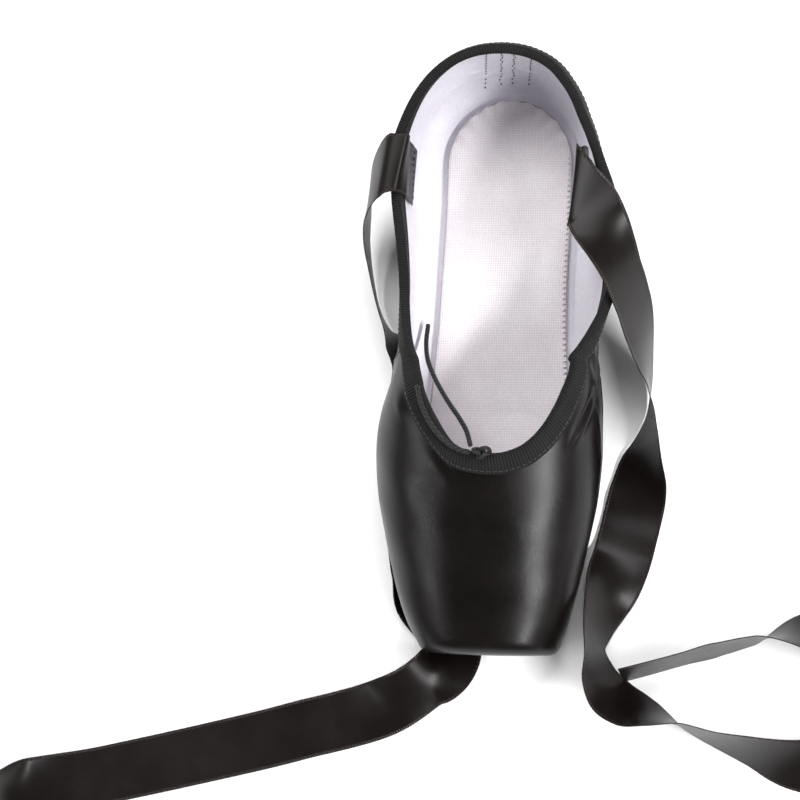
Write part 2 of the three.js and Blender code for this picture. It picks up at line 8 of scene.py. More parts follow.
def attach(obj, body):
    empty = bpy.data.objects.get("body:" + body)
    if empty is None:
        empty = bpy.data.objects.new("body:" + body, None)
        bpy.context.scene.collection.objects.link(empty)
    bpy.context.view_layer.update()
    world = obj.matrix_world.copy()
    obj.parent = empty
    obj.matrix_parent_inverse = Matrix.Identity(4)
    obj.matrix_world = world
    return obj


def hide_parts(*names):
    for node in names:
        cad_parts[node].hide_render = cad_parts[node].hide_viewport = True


bl_info = {
    "name": "Pointe shoe maker",
    "version": (1, 0, 0),
    "blender": (4, 5, 0),
    "location": "3D View > Sidebar > Pointe shoe",
    "description": "Sews the satin, lining, binding, ribbons and stitches of a pointe shoe",
    "category": "Object",
}

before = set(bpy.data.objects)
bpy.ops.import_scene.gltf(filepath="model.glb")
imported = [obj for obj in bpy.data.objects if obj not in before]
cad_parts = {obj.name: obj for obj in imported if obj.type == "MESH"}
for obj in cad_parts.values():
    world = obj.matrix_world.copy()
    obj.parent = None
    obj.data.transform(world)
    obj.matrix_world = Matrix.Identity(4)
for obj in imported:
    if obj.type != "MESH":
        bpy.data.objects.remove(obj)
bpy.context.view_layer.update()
MM = 0.001

# ---- driving sizes of the last and its cloth ----
LENGTH = 230.0
GAP = 0.3
SOLE_THICKNESS = 2.2
INSOLE_THICKNESS = 2.0
BOX_WALL = 2.6
QUARTER_WALL = 1.5
FLANGE_WALL = 1.5
TOE_CORNER = 5.0
PLATFORM_BOW = 0.8
UNDERCUT = 2.0
TOE_FAN = 105.0
HEEL_FAN = 188.0
HEEL_END = 228.7
FLAT_START = 4.0
FLAT_END = 222.0
SOLE_START = 18.0
SOLE_END = 224.0
WINDOW_INSET = 5.0
INSOLE_START = 9.0
INSOLE_END = 218.5
LOWER_ROUND = 2.3
HEEL_ROUND = 2.15
FLAT_HEEL_ROUND = 2.2
SOLE_ENDS = (22, 18)
INSOLE_ENDS = (9, 25)
UNDERCUT_REACH = 14
LEAN_POWER = 1.8
BINDING_CLOTH = 0.8
PLEAT_HEIGHT = 0.8
SEAM_S = 110.0
SEAM_ROW = 3.0
HEEL_STAY = 8.5
HEEL_STAY_HEIGHT = 0.4
HEEL_STAY_ROW = 6.6
HEEL_LINING_ROWS = (-4.7, 1.3, 6.1, 12.6)

# ---- how finely each piece is divided ----
TOE_LINES, SIDE_LINES, HEEL_LINES = 84, 54, 40
RIBBON_STEPS, RIBBON_STRIPS = 420, 14
MERGE = 1e-6
EPS = 1e-9

# s, half width at the widest line, half width of the flat, height of the widest line,
# height of the crown, roundness above the widest line
LAST = np.array([
    [0, 22.5, 14.5, 10, 28.5, 2.3], [5, 26.6, 18.2, 11, 30.4, 2.3],
    [12, 29.8, 21.5, 12.5, 33, 2.3], [20, 32.3, 24, 14, 36, 2.3],
    [30, 34.8, 26.3, 15.5, 39.8, 2.2], [45, 38.3, 28.4, 17.5, 45.2, 2.2],
    [60, 41, 29.4, 19, 50.3, 2.2], [75, 42.1, 29.3, 20, 55.2, 2.2],
    [88, 41.4, 28.4, 21, 57, 2.25], [102, 38.9, 27, 21.5, 57.2, 2.35],
    [112, 37.2, 26, 21, 57, 2.6], [124, 35.7, 25.2, 20, 57, 3],
    [140, 35, 24.8, 19, 58, 3.3], [155, 35.2, 25.1, 18, 59, 3.4],
    [170, 35.9, 25.6, 17, 61, 3.5], [188, 36.3, 26, 16, 62, 3.5],
    [230, 36.3, 26, 16, 62, 3.5],
])
# s, height of the outsole's underside over the floor
LIFT = np.array([
    [0, 4.2], [8, 2.9], [16, 1.8], [26, 0.7], [36, 0], [92, 0], [98, 0.7], [105, 1.6],
    [115, 2.8], [128, 3.6], [142, 3.6], [154, 2.4], [165, 0.8], [173, 0], [222, 0], [230, 0.2],
])
# degrees from straight ahead, distance of the throat edge on the left and on the right
THROAT = np.array([
    [0, 36.2, 36.2], [8, 35.5, 36.9], [15, 34.3, 37.4], [24, 31.4, 37.3], [34, 28.9, 36.2],
    [45, 27.3, 34.5], [57, 26.5, 32.4], [70, 26.5, 30.5], [90, 28.3, 29.6],
])
# s, height of the collar edge, lean of the left side, lean of the right side
COLLAR = np.array([
    [60, 48.4, 0, 0], [75, 48.4, -0.4, 0.5], [90, 48.4, -1.2, 1.8], [105, 48.4, -2, 3.4],
    [110, 45.9, -2, 4.2], [116, 43, -1.8, 5.6], [125, 39.7, -1, 8.4], [135, 37.9, 0, 10.8],
    [148, 36.9, 1.5, 11.4], [160, 36.8, 3, 10.4], [172, 37.4, 4, 7.6], [182, 38.6, 4.3, 4],
    [192, 40.6, 3.4, 0.6], [202, 43.3, 1.6, -1.4], [212, 46.8, 0.5, -1.2], [220, 50, 0, 0],
    [230, 52.5, 0, 0],
])
# s, sideways drift of the centre line
DRIFT = np.array([
    [0, -0.8], [8, -1.6], [20, -2.2], [40, -2.3], [80, -2.3], [105, -0.8], [140, -0.3],
    [170, 0], [230, 0],
])
# s, half width
SOLE = np.array([
    [18, 16.5], [30, 20], [45, 24.5], [60, 26.3], [75, 26.3], [88, 24.5], [100, 20.5],
    [112, 16.5], [125, 14], [140, 13.4], [155, 14.2], [170, 16.2], [185, 18.3], [200, 19.2],
    [212, 19], [224, 18],
])
INSOLE = np.array([
    [9, 17.5], [20, 20.6], [40, 25], [60, 27.4], [80, 27.6], [100, 26.4], [115, 25.4],
    [130, 24.6], [150, 24.3], [170, 24.4], [190, 24.4], [205, 24], [218.5, 23],
])
# x, s, z of the centre, direction across (x, s, z), curl in degrees
LEFT_RIBBON = [
    (-34.2, 182, 23, 0.05, 1, 0, 0), (-34.6, 182, 30, 0.05, 1, 0, 0),
    (-34.9, 182, 36.5, 0.05, 1, 0, 0), (-36, 182, 41.9, 0.2, 1, 0.06, 0),
    (-41.6, 181.4, 42.4, 0.14, 1, 0.08, 0), (-46.8, 178.4, 36, -0.1, 0.92, -0.36, 0),
    (-50.8, 173.8, 27.4, -0.1, 0.78, -0.62, 0), (-52.4, 167, 21.5, -0.05, 0.6, -0.8, 0),
    (-53, 158, 17.1, -0.1, 0.35, -0.93, 0), (-51.6, 147, 14.1, -0.13, 0.15, -0.98, 0),
    (-49.2, 136, 12.4, -0.12, 0.06, -0.99, 0), (-45.6, 126, 11.6, 0, 0, -1, 10),
    (-41.8, 119, 10.2, 0.4, 0, -0.9, 40), (-38.2, 110, 7, 0.55, 0, -0.82, 75),
    (-38.6, 99, 4.4, 0.7, 0, -0.72, 95), (-40.4, 86, 3.4, 0.77, 0, -0.64, 100),
    (-40.8, 73, 3.4, 0.77, 0, -0.64, 100), (-39.9, 59, 3.4, 0.77, 0, -0.64, 105),
    (-37.9, 45, 3, 0.77, 0, -0.64, 125), (-33.8, 31.5, 2.7, 0.84, 0, -0.54, 105),
    (-28, 21, 1.5, 0.96, 0.06, -0.14, 50), (-20.4, 12.4, 1.1, 0.96, 0.25, -0.12, 30),
    (-16.4, 4, 0.8, 1, 0.1, -0.04, 8), (-18.6, -3, 3.3, 0.9, -0.3, -0.2, 0),
    (-24.6, -8.6, 6.8, 0.66, -0.5, -0.56, 0), (-33, -14.4, 6.1, 0.5, -0.72, -0.48, 0),
    (-43.6, -19.4, 2.9, 0.34, -0.92, -0.2, 0), (-57, -23.6, 1.2, 0.27, -0.96, -0.08, 0),
    (-71, -27.4, 1.6, 0.26, -0.96, -0.1, 0), (-85, -31.4, 1.2, 0.26, -0.96, -0.06, 0),
    (-109, -37.6, 0.7, 0.24, -0.97, 0, 0), (-133, -43.6, 0.7, 0.22, -0.97, 0, 0),
    (-158, -49.4, 0.8, 0.2, -0.98, -0.02, 0), (-178, -52.8, 4.5, 0.12, -0.9, -0.35, 0),
    (-196, -54.6, 11.3, 0, -0.1, -1, 0), (-214, -56.2, 4.5, -0.1, 0.9, -0.35, 0),
    (-234, -58.4, 0.8, -0.13, 0.99, -0.02, 0), (-258, -62, 0.7, -0.14, 0.99, 0, 0),
    (-282, -65.6, 0.7, -0.14, 0.99, 0, 0), (-306, -68.4, 0.7, -0.1, 0.99, 0, 0),
    (-330, -70, 0.7, -0.05, 1, 0, 0),
]
RIGHT_RIBBON = [
    (33, 182, 22, -0.08, 1, 0, 0), (32.8, 180, 29, -0.08, 1, 0, 0),
    (31.8, 177, 36, -0.06, 1, 0, 0), (29.8, 174.2, 41.6, 0, 1, 0, 0),
    (29.3, 171.5, 44.6, 0.09, 0.99, 0, 0), (31.6, 168.2, 45.6, 0.3, 0.95, 0, 0),
    (35.8, 163.3, 45.3, 0.6, 0.8, -0.1, 0), (39, 157, 44.9, 0.76, 0.62, -0.2, 0),
    (43.2, 149, 43.4, 0.76, 0.4, -0.52, 0), (47.6, 139.5, 40, 0.62, 0.25, -0.75, 0),
    (51.2, 130, 33, 0.5, 0.2, -0.85, 0), (53.8, 119.5, 23.4, 0.36, 0.1, -0.93, 0),
    (55.8, 108.5, 14.8, 0.14, 0, -0.99, 0), (56.5, 98.5, 12, -0.06, 0, -1, 0),
    (56.3, 88.5, 11, -0.3, 0, -0.95, 0), (54.8, 78, 8.8, -0.6, 0.05, -0.78, 0),
    (52.8, 67.5, 4, -0.92, 0.2, -0.34, 0), (50.6, 58, 0.9, -0.97, 0.25, 0, 0),
    (48.6, 49, 0.8, -0.97, 0.26, 0, 0), (46.6, 40.5, 1.2, -0.96, 0.25, 0.04, 0),
    (44.2, 32, 4.2, -0.9, 0.2, 0.33, 0), (41.4, 23, 8, -0.7, 0.15, 0.7, 0),
    (38.9, 14, 10.2, -0.45, 0.05, 0.88, 0), (37.8, 5, 10.9, -0.25, 0, 0.97, 0),
    (39, -4, 9.4, -0.4, -0.3, 0.8, 0), (43.6, -11.8, 8.2, -0.4, -0.6, 0.66, 0),
    (51, -16.4, 8.6, -0.35, -0.6, 0.75, 0), (60, -19.2, 10.4, -0.1, -0.35, 0.95, 0),
    (70, -22.2, 11.3, 0, 0.05, 1, 0), (82, -26.6, 11, 0.05, 0.2, 0.98, 0),
    (96, -30.5, 10, 0.1, 0.45, 0.88, 0), (111, -34.2, 6.6, 0.14, 0.8, 0.58, 0),
    (126, -33.6, 2.4, -0.12, 0.97, 0.2, 0), (138.6, -28, 0.8, -0.6, 0.8, 0, 0),
    (146, -17.4, 0.8, -0.93, 0.37, 0, 0), (146, -5, 0.8, -0.93, -0.37, 0, 0),
    (138.6, 5.4, 1.2, -0.6, -0.8, 0.03, 0), (126, 11, 4.4, -0.2, -0.92, 0.36, 0),
    (112, 12.4, 9.2, 0, -0.6, 0.8, 0), (96, 9.4, 11.1, 0.02, 0.05, 1, 0),
    (83, 5.8, 11, 0.05, 0.15, 0.98, 0), (70, 2, 11, 0.05, 0.15, 0.98, 0),
    (58, -1.6, 11, 0.05, 0.15, 0.98, 0), (47.6, -4.6, 11, 0.05, 0.15, 0.98, 0),
]
INNER_END = [
    (-3.7, 72, 57), (-5.9, 77.6, 52.4), (-9.7, 83.6, 46), (-14.2, 89.6, 38.6),
    (-18.4, 95.6, 31.6), (-23.4, 103.6, 23.8), (-27.4, 112, 17.4), (-28.8, 119.4, 14),
    (-28.6, 126.4, 12.6),
]
OUTER_END = [
    (-4.2, 69.4, 56.8), (-8, 70.4, 56.6), (-12.2, 72.8, 57), (-16.6, 77.2, 57.7),
    (-20, 82.4, 56.9), (-22.6, 88, 55.6), (-24.2, 93.8, 54),
]
KNOT = (0.4, 69.4, 57.2)
KNOT_HALF = (3.6, 2.6, 2.2)


# ---- sizes and colours that a user may change ----
class ShoeSizes(bpy.types.PropertyGroup):
    ribbon_width: bpy.props.FloatProperty(
        name="Ribbon width", description="Width of the satin ribbon", default=0.022,
        min=0.012, max=0.03, unit="LENGTH")
    ribbon_thickness: bpy.props.FloatProperty(
        name="Ribbon thickness", description="Thickness of the satin ribbon", default=0.0004,
        unit="LENGTH")
    cord_diameter: bpy.props.FloatProperty(
        name="Drawstring", description="Diameter of the elastic drawstring", default=0.0018,
        unit="LENGTH")
    binding_outside: bpy.props.FloatProperty(
        name="Binding outside", description="Depth of the collar binding outside", default=0.0064,
        unit="LENGTH")
    binding_inside: bpy.props.FloatProperty(
        name="Binding inside", default=0.0075, unit="LENGTH",
        description="Depth of the collar binding inside, up to its depth outside")
    pleat_pitch: bpy.props.FloatProperty(
        name="Pleat pitch", description="Distance between pleats under the toe", default=0.0052,
        unit="LENGTH")
    stitch_length: bpy.props.FloatProperty(
        name="Stitch length", description="Length of one lockstitch", default=0.0026,
        unit="LENGTH")


class ShoeColours(bpy.types.PropertyGroup):
    satin: bpy.props.FloatVectorProperty(
        name="Satin", description="Outer satin", subtype="COLOR", size=3,
        default=(0.0022, 0.0013, 0.0012), min=0, max=1)
    binding: bpy.props.FloatVectorProperty(
        name="Binding", description="Ribbed collar binding", subtype="COLOR", size=3,
        default=(0.0048, 0.0044, 0.0044), min=0, max=1)
    lining: bpy.props.FloatVectorProperty(
        name="Lining", description="Canvas lining", subtype="COLOR", size=3,
        default=(0.66, 0.645, 0.7), min=0, max=1)
    insole: bpy.props.FloatVectorProperty(
        name="Insole", description="Woven insole cover", subtype="COLOR", size=3,
        default=(0.665, 0.63, 0.655), min=0, max=1)
    leather: bpy.props.FloatVectorProperty(
        name="Sole leather", description="Leather outsole", subtype="COLOR", size=3,
        default=(0.32, 0.17, 0.09), min=0, max=1)
    thread: bpy.props.FloatVectorProperty(
        name="Dark thread", description="Thread on the satin", subtype="COLOR", size=3,
        default=(0.012, 0.011, 0.012), min=0, max=1)


def sizes():
    return bpy.context.scene.pointe_sizes


def colours():
    return bpy.context.scene.pointe_colours


# ---- curves through tables ----
def column(rows, value):
    """Smooth curve through one column of a table that never overshoots its rows."""
    x, y = rows[:, 0].astype(float), rows[:, value].astype(float)
    slope = np.diff(y) / np.diff(x)
    tangent = np.zeros(len(x))
    tangent[0], tangent[-1] = slope[0], slope[-1]
    before, after = slope[:-1], slope[1:]
    together = before * after > 0
    tangent[1:-1][together] = 2 * before[together] * after[together] / (before + after)[together]

    def along(at):
        place = np.clip(at, x[0], x[-1])
        k = np.clip(np.searchsorted(x, place, side="left") - 1, 0, len(x) - 2)
        span = x[k + 1] - x[k]
        t = (place - x[k]) / span
        return (y[k] + (y[k + 1] - y[k]) * t * t * (3 - 2 * t)
                + span * (tangent[k] * t * (1 - t) ** 2 - tangent[k + 1] * t * t * (1 - t)))
    return along


half_along, flat_along, rise = column(LAST, 1), column(LAST, 2), column(LAST, 3)
crown_line, roundness = column(LAST, 4), column(LAST, 5)
lift, drift = column(LIFT, 1), column(DRIFT, 1)
throat_left, throat_right = column(THROAT, 1), column(THROAT, 2)
collar_height, lean_left, lean_right = column(COLLAR, 1), column(COLLAR, 2), column(COLLAR, 3)
sole_half, insole_half = column(SOLE, 1), column(INSOLE, 1)


def smooth(t):
    """Ease from 0 to 1."""
    k = np.clip(t, 0, 1)
    return k * k * (3 - 2 * k)


def underside(s):
    """Height of the upper's underside."""
    return lift(s) + SOLE_THICKNESS + GAP


def insole_underside(s):
    return underside(s) + FLANGE_WALL + GAP


def arc_end(t, power):
    """Rounding of an outline's end: 0 at the tip, 1 where the round stretch is over."""
    return (1 - (1 - np.clip(t, 0, 1)) ** power) ** (1 / power)


def last_outline(s):
    heel = half_along(s) * arc_end((HEEL_END - s) / (HEEL_END - HEEL_FAN), HEEL_ROUND)
    toe = half_along(TOE_CORNER) - TOE_CORNER * (1 - arc_end(s / TOE_CORNER, 2))
    half = np.where(s > HEEL_FAN, heel, np.where(s >= TOE_CORNER, half_along(s), toe))
    return np.where((s <= 0) | (s >= HEEL_END), 0, half)


def flat_outline(s):
    heel = flat_along(s) * arc_end((FLAT_END - s) / (FLAT_END - HEEL_FAN), FLAT_HEEL_ROUND)
    toe = flat_along(s) - TOE_CORNER * (1 - arc_end((s - FLAT_START) / TOE_CORNER, 2))
    half = np.where(s > HEEL_FAN, heel, toe)
    return np.where((s <= FLAT_START) | (s >= FLAT_END), 0, half)


def spoon(s, start, end, half, toe_round, heel_round, inset=0.0):
    """Half width of a board that is rounded over these lengths at its two ends."""
    first, final = start + inset, end - inset
    width = ((half(s) - inset) * arc_end((s - first) / toe_round, 2)
             * arc_end((final - s) / heel_round, 2))
    return np.where((s <= first) | (s >= final), 0, width)


def sole_outline(s, inset=0.0):
    return spoon(s, SOLE_START, SOLE_END, sole_half, *SOLE_ENDS, inset)


def insole_outline(s):
    return spoon(s, INSOLE_START, INSOLE_END, insole_half, *INSOLE_ENDS)


def window_outline(s):
    return sole_outline(s, WINDOW_INSET)


def vamp_height(x, s):
    """Height of the vamp over any place of the plan."""
    corner = np.where(s < TOE_CORNER, TOE_CORNER * (1 - arc_end(s / TOE_CORNER, 2)), 0)
    across = np.clip(np.abs(x) / np.maximum(last_outline(s), EPS), 0, 1)
    power = roundness(s)
    return rise(s) + (crown_line(s) - corner - rise(s)) * (1 - across ** power) ** (1 / power)


# ---- the last as lines from the window underneath to the collar ----
def last_lines(toe, side, heel):
    """Kind (0 toe, 1 side, 2 heel), angle, start s and direction of each line round the last."""
    k = np.arange(-toe, toe)
    angle = np.sign(k) * (np.abs(k) / toe) ** 1.7 * math.pi / 2
    ahead = np.stack([0 * angle, angle, TOE_FAN + 0 * angle, np.sin(angle), -np.cos(angle)], 1)
    s = TOE_FAN + (HEEL_FAN - TOE_FAN) * np.arange(side) / side
    right = np.stack([1 + 0 * s, 0 * s, s, 1 + 0 * s, 0 * s], 1)
    turn = np.arange(2 * heel) / heel * math.pi / 2
    back = np.stack([2 + 0 * turn, 0 * turn, HEEL_FAN + 0 * turn, np.cos(turn), np.sin(turn)], 1)
    s = HEEL_FAN + (TOE_FAN - HEEL_FAN) * np.arange(side) / side
    left = np.stack([1 + 0 * s, 0 * s, s, -1 + 0 * s, 0 * s], 1)
    return np.concatenate([ahead, right, back, left])


def reach(lines, outline):
    """How far each line runs before it leaves an outline."""
    low, high = np.zeros(len(lines)), np.full(len(lines), 140.0)
    for _ in range(50):
        mid = (low + high) / 2
        x, s = lines[:, 3] * mid, lines[:, 2] + lines[:, 4] * mid
        bow = np.where(s < TOE_FAN, PLATFORM_BOW * (x / half_along(TOE_CORNER)) ** 2, 0)
        inside = np.abs(x) < outline(np.maximum(s - bow, -1))
        low, high = np.where(inside, mid, low), np.where(inside, high, mid)
    return low


def settle(x, s, z):
    """A point of the straight last, moved by the lean, the drift and the undercut."""
    base = underside(s)
    side = np.where(x < 0, -lean_left(s), lean_right(s))
    up = np.clip((z - base) / (collar_height(s) - base), 0, 1)
    under = UNDERCUT * (1 - np.clip(z / crown_line(0.0), 0, 1)) * smooth(1 - s / UNDERCUT_REACH)
    return np.stack([x + drift(s) + side * up ** LEAN_POWER, s + under - LENGTH / 2, z], -1)


def last_sections(lines, flange, lower, count=140):
    """Points of the flange and lower corner, and a fine path from the widest line to the collar."""
    outer, flat, window = (reach(lines, f) for f in (last_outline, flat_outline, window_outline))

    def at(r, z):
        return settle(lines[:, 3] * r, lines[:, 2] + lines[:, 4] * r, z)

    def place(r):
        return lines[:, 2] + lines[:, 4] * r
    below = []
    for k in range(flange):
        r = window + (flat - window) * k / flange
        below.append(at(r, underside(place(r))))
    for k in range(lower + 1):
        turn = k / lower * math.pi / 2
        r = flat + (outer - flat) * math.sin(turn) ** (2 / LOWER_ROUND)
        base = underside(place(r))
        up = 1 - max(math.cos(turn), 0) ** (2 / LOWER_ROUND)
        below.append(at(r, base + (rise(place(r)) - base) * up))
    above = np.zeros((count + 1, len(lines), 3))
    degrees = np.degrees(lines[:, 1])
    inner = np.where(degrees < 0, throat_left(-degrees), throat_right(degrees))
    power = roundness(place(outer))

    def side_point(turn):
        r = outer * np.cos(turn) ** (2 / power)
        s = place(r)
        z = rise(s) + (crown_line(s) - rise(s)) * np.sin(turn) ** (2 / power)
        return r, s, z
    low, high = np.zeros(len(lines)), np.full(len(lines), math.pi / 2)
    for _ in range(50):
        mid = (low + high) / 2
        _, s, z = side_point(mid)
        under = z < collar_height(s)
        low, high = np.where(under, mid, low), np.where(under, high, mid)
    toe = lines[:, 0] == 0
    for k in range(count + 1):
        r = outer + (inner - outer) * (k / count) ** 2.2
        over = at(r, vamp_height(lines[:, 3] * r, place(r)))
        if k == 0:
            over = at(outer, rise(place(outer)))
        r, _, z = side_point(low * k / count)
        above[k] = np.where(toe[:, None], over, at(r, z))
    return np.array(below).transpose(1, 0, 2), above.transpose(1, 0, 2)


def run_of(points):
    """Distance of each point from the first one, along a line of points."""
    step = np.linalg.norm(np.diff(points, axis=-2), axis=-1)
    return np.concatenate([np.zeros((*step.shape[:-1], 1)), np.cumsum(step, axis=-1)], axis=-1)


def along_path(path, distances):
    """Points of one path at given distances, which a function makes from its length."""
    run = run_of(path)
    at = np.asarray(distances(run[-1]))
    return np.stack([np.interp(at, run, path[:, k]) for k in range(3)], 1)


def ring_normals(grid):
    """Outward normals of a grid that is closed round its first index."""
    ahead = np.roll(grid, -1, 0) - np.roll(grid, 1, 0)
    upward = np.gradient(grid, axis=1)
    normal = np.cross(ahead, upward)
    return normal / np.maximum(np.linalg.norm(normal, axis=2, keepdims=True), EPS)


class Last:
    """The shell of the upper: its outside, normals, wall and inside, line by line."""
    FLANGE, LOWER, ABOVE = 12, 22, 58

    def __init__(self):
        self.lines = last_lines(TOE_LINES, SIDE_LINES, HEEL_LINES)
        below, self.path = last_sections(self.lines, self.FLANGE, self.LOWER)
        rows = [np.concatenate([low, along_path(path, self.spread)])
                for low, path in zip(below, self.path)]
        self.outside = np.array(rows)
        self.normals = ring_normals(self.outside)
        s = self.outside[..., 1] + LENGTH / 2
        side = BOX_WALL + (QUARTER_WALL - BOX_WALL) * smooth((s - 72) / 36)
        step = np.arange(self.outside.shape[1])
        self.wall = FLANGE_WALL + (side - FLANGE_WALL) * smooth((step - self.FLANGE) / self.LOWER)
        self.inside = self.outside - self.normals * self.wall[..., None]

    def spread(self, total):
        """Distances up a line, closer together near the widest line."""
        k = np.arange(1, self.ABOVE + 1) / self.ABOVE
        return total * k ** 1.15


_made = {}


def the_last():
    """The last, worked out once for every operator."""
    if "last" not in _made:
        _made["last"] = Last()
    return _made["last"]


# ---- meshes ----
def only(obj):
    bpy.ops.object.select_all(action="DESELECT")
    obj.select_set(True)
    bpy.context.view_layer.objects.active = obj


def edit(action):
    """Run one mesh operator, or a few, on all of the active object."""
    bpy.ops.object.mode_set(mode="EDIT")
    bpy.ops.mesh.select_all(action="SELECT")
    action()
    bpy.ops.object.mode_set(mode="OBJECT")


def cloth_grid(name, grid, uv, closed=False, flip=False):
    """A grid primitive whose vertices are laid on a grid of points in millimetres.

    grid is (across, along, 3) and uv (across, along, 2) in millimetres."""
    across, along = grid.shape[:2]
    bpy.ops.object.select_all(action="DESELECT")
    bpy.ops.mesh.primitive_grid_add(
        x_subdivisions=along - 1, y_subdivisions=across - 1, size=1, calc_uvs=True)
    obj = bpy.context.object
    obj.name = name
    mesh = obj.data
    mesh.name = name
    mesh.vertices.foreach_set("co", (grid.reshape(-1, 3) * MM).astype(np.float32).ravel())
    corner = np.zeros(len(mesh.loops), np.int32)
    mesh.loops.foreach_get("vertex_index", corner)
    flat_uv = uv.reshape(-1, 2)[corner] * MM * 10
    mesh.uv_layers[0].data.foreach_set("uv", flat_uv.astype(np.float32).ravel())
    mesh.update()
    only(obj)
    if closed:
        edit(lambda: bpy.ops.mesh.remove_doubles(threshold=MERGE))
    if flip:
        edit(bpy.ops.mesh.flip_normals)
    return obj


def close_up(obj, gap=MERGE):
    """Merge the rims of a tube or a board and turn its faces outwards."""
    def merge():
        bpy.ops.mesh.remove_doubles(threshold=gap)
        bpy.ops.mesh.normals_make_consistent(inside=False)
    only(obj)
    edit(merge)


def apply_modifier(obj, kind, **settings):
    only(obj)
    modifier = obj.modifiers.new(kind.title(), kind)
    for key, value in settings.items():
        setattr(modifier, key, value)
    bpy.ops.object.modifier_apply(modifier=modifier.name)


def thicken(obj, thickness, offset=-1.0):
    apply_modifier(obj, "SOLIDIFY", thickness=thickness * MM, offset=offset,
                   use_even_offset=False, use_quality_normals=True)


def soften(obj, degrees=50):
    only(obj)
    bpy.ops.object.shade_smooth_by_angle(angle=math.radians(degrees))


def finish_piece(obj, material, replaces=()):
    """Give a piece its material and the plain solids that it stands for."""
    if not obj.data.polygons:
        raise RuntimeError(f"{obj.name} has no faces")
    obj.data.materials.clear()
    obj.data.materials.append(material)
    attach(obj, "root")
    if replaces:
        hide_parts(*replaces)


# ---- materials ----
class Nodes:
    """Short hand for building one procedural material."""

    def __init__(self, name):
        self.material = bpy.data.materials.new(name)
        self.material.use_nodes = True
        self.tree = self.material.node_tree
        self.shader = self.tree.nodes["Principled BSDF"]

    def add(self, kind, **values):
        node = self.tree.nodes.new(kind)
        for key, value in values.items():
            if hasattr(node, key):
                setattr(node, key, value)
            else:
                node.inputs[key.replace("_", " ")].default_value = value
        return node

    def link(self, source, output, target, socket):
        self.tree.links.new(source.outputs[output], target.inputs[socket])

    def coordinates(self, kind, scale):
        coord = self.add("ShaderNodeTexCoord")
        mapping = self.add("ShaderNodeMapping")
        mapping.inputs["Scale"].default_value = scale
        self.link(coord, kind, mapping, "Vector")
        return mapping

    def noise(self, kind, scale, detail=3.0, rough=0.5, stretch=(1, 1, 1)):
        mapping = self.coordinates(kind, stretch)
        noise = self.add("ShaderNodeTexNoise")
        noise.inputs["Scale"].default_value = scale
        noise.inputs["Detail"].default_value = detail
        noise.inputs["Roughness"].default_value = rough
        self.link(mapping, "Vector", noise, "Vector")
        return noise

    def bands(self, kind, direction, scale, distortion=0.0, profile="SIN"):
        mapping = self.coordinates(kind, (1, 1, 1))
        wave = self.add("ShaderNodeTexWave", wave_type="BANDS", bands_direction=direction,
                        wave_profile=profile)
        wave.inputs["Scale"].default_value = scale
        wave.inputs["Distortion"].default_value = distortion
        self.link(mapping, "Vector", wave, "Vector")
        return wave

    def math(self, operation, a, b):
        node = self.add("ShaderNodeMath", operation=operation)
        for socket, item in enumerate((a, b)):
            if isinstance(item, tuple):
                self.link(item[0], item[1], node, socket)
            else:
                node.inputs[socket].default_value = item
        return node

    def ramp(self, source, output, low, high, position=(0.0, 1.0)):
        ramp = self.add("ShaderNodeValToRGB")
        ramp.color_ramp.elements[0].color = (*low, 1)
        ramp.color_ramp.elements[1].color = (*high, 1)
        ramp.color_ramp.elements[0].position = position[0]
        ramp.color_ramp.elements[1].position = position[1]
        self.link(source, output, ramp, "Fac")
        return ramp

    def value_range(self, source, output, low, high, start=0.0, end=1.0):
        node = self.add("ShaderNodeMapRange")
        node.inputs["From Min"].default_value = start
        node.inputs["From Max"].default_value = end
        node.inputs["To Min"].default_value = low
        node.inputs["To Max"].default_value = high
        self.link(source, output, node, "Value")
        return node

    def bump(self, source, output, distance, strength=1.0, under=None):
        bump = self.add("ShaderNodeBump")
        bump.inputs["Distance"].default_value = distance
        bump.inputs["Strength"].default_value = strength
        self.link(source, output, bump, "Height")
        if under is not None:
            self.link(under, "Normal", bump, "Normal")
        self.link(bump, "Normal", self.shader, "Normal")
        return bump

    def set(self, **values):
        for key, value in values.items():
            self.shader.inputs[key.replace("_", " ")].default_value = value


def scaled(colour, factor):
    return tuple(min(1.0, c * factor) for c in colour)


# One unit of cloth is 100 mm and a wave repeats every pi / 10 units at scale 1.
def pitch(mm):
    return 10.0 * math.pi / mm


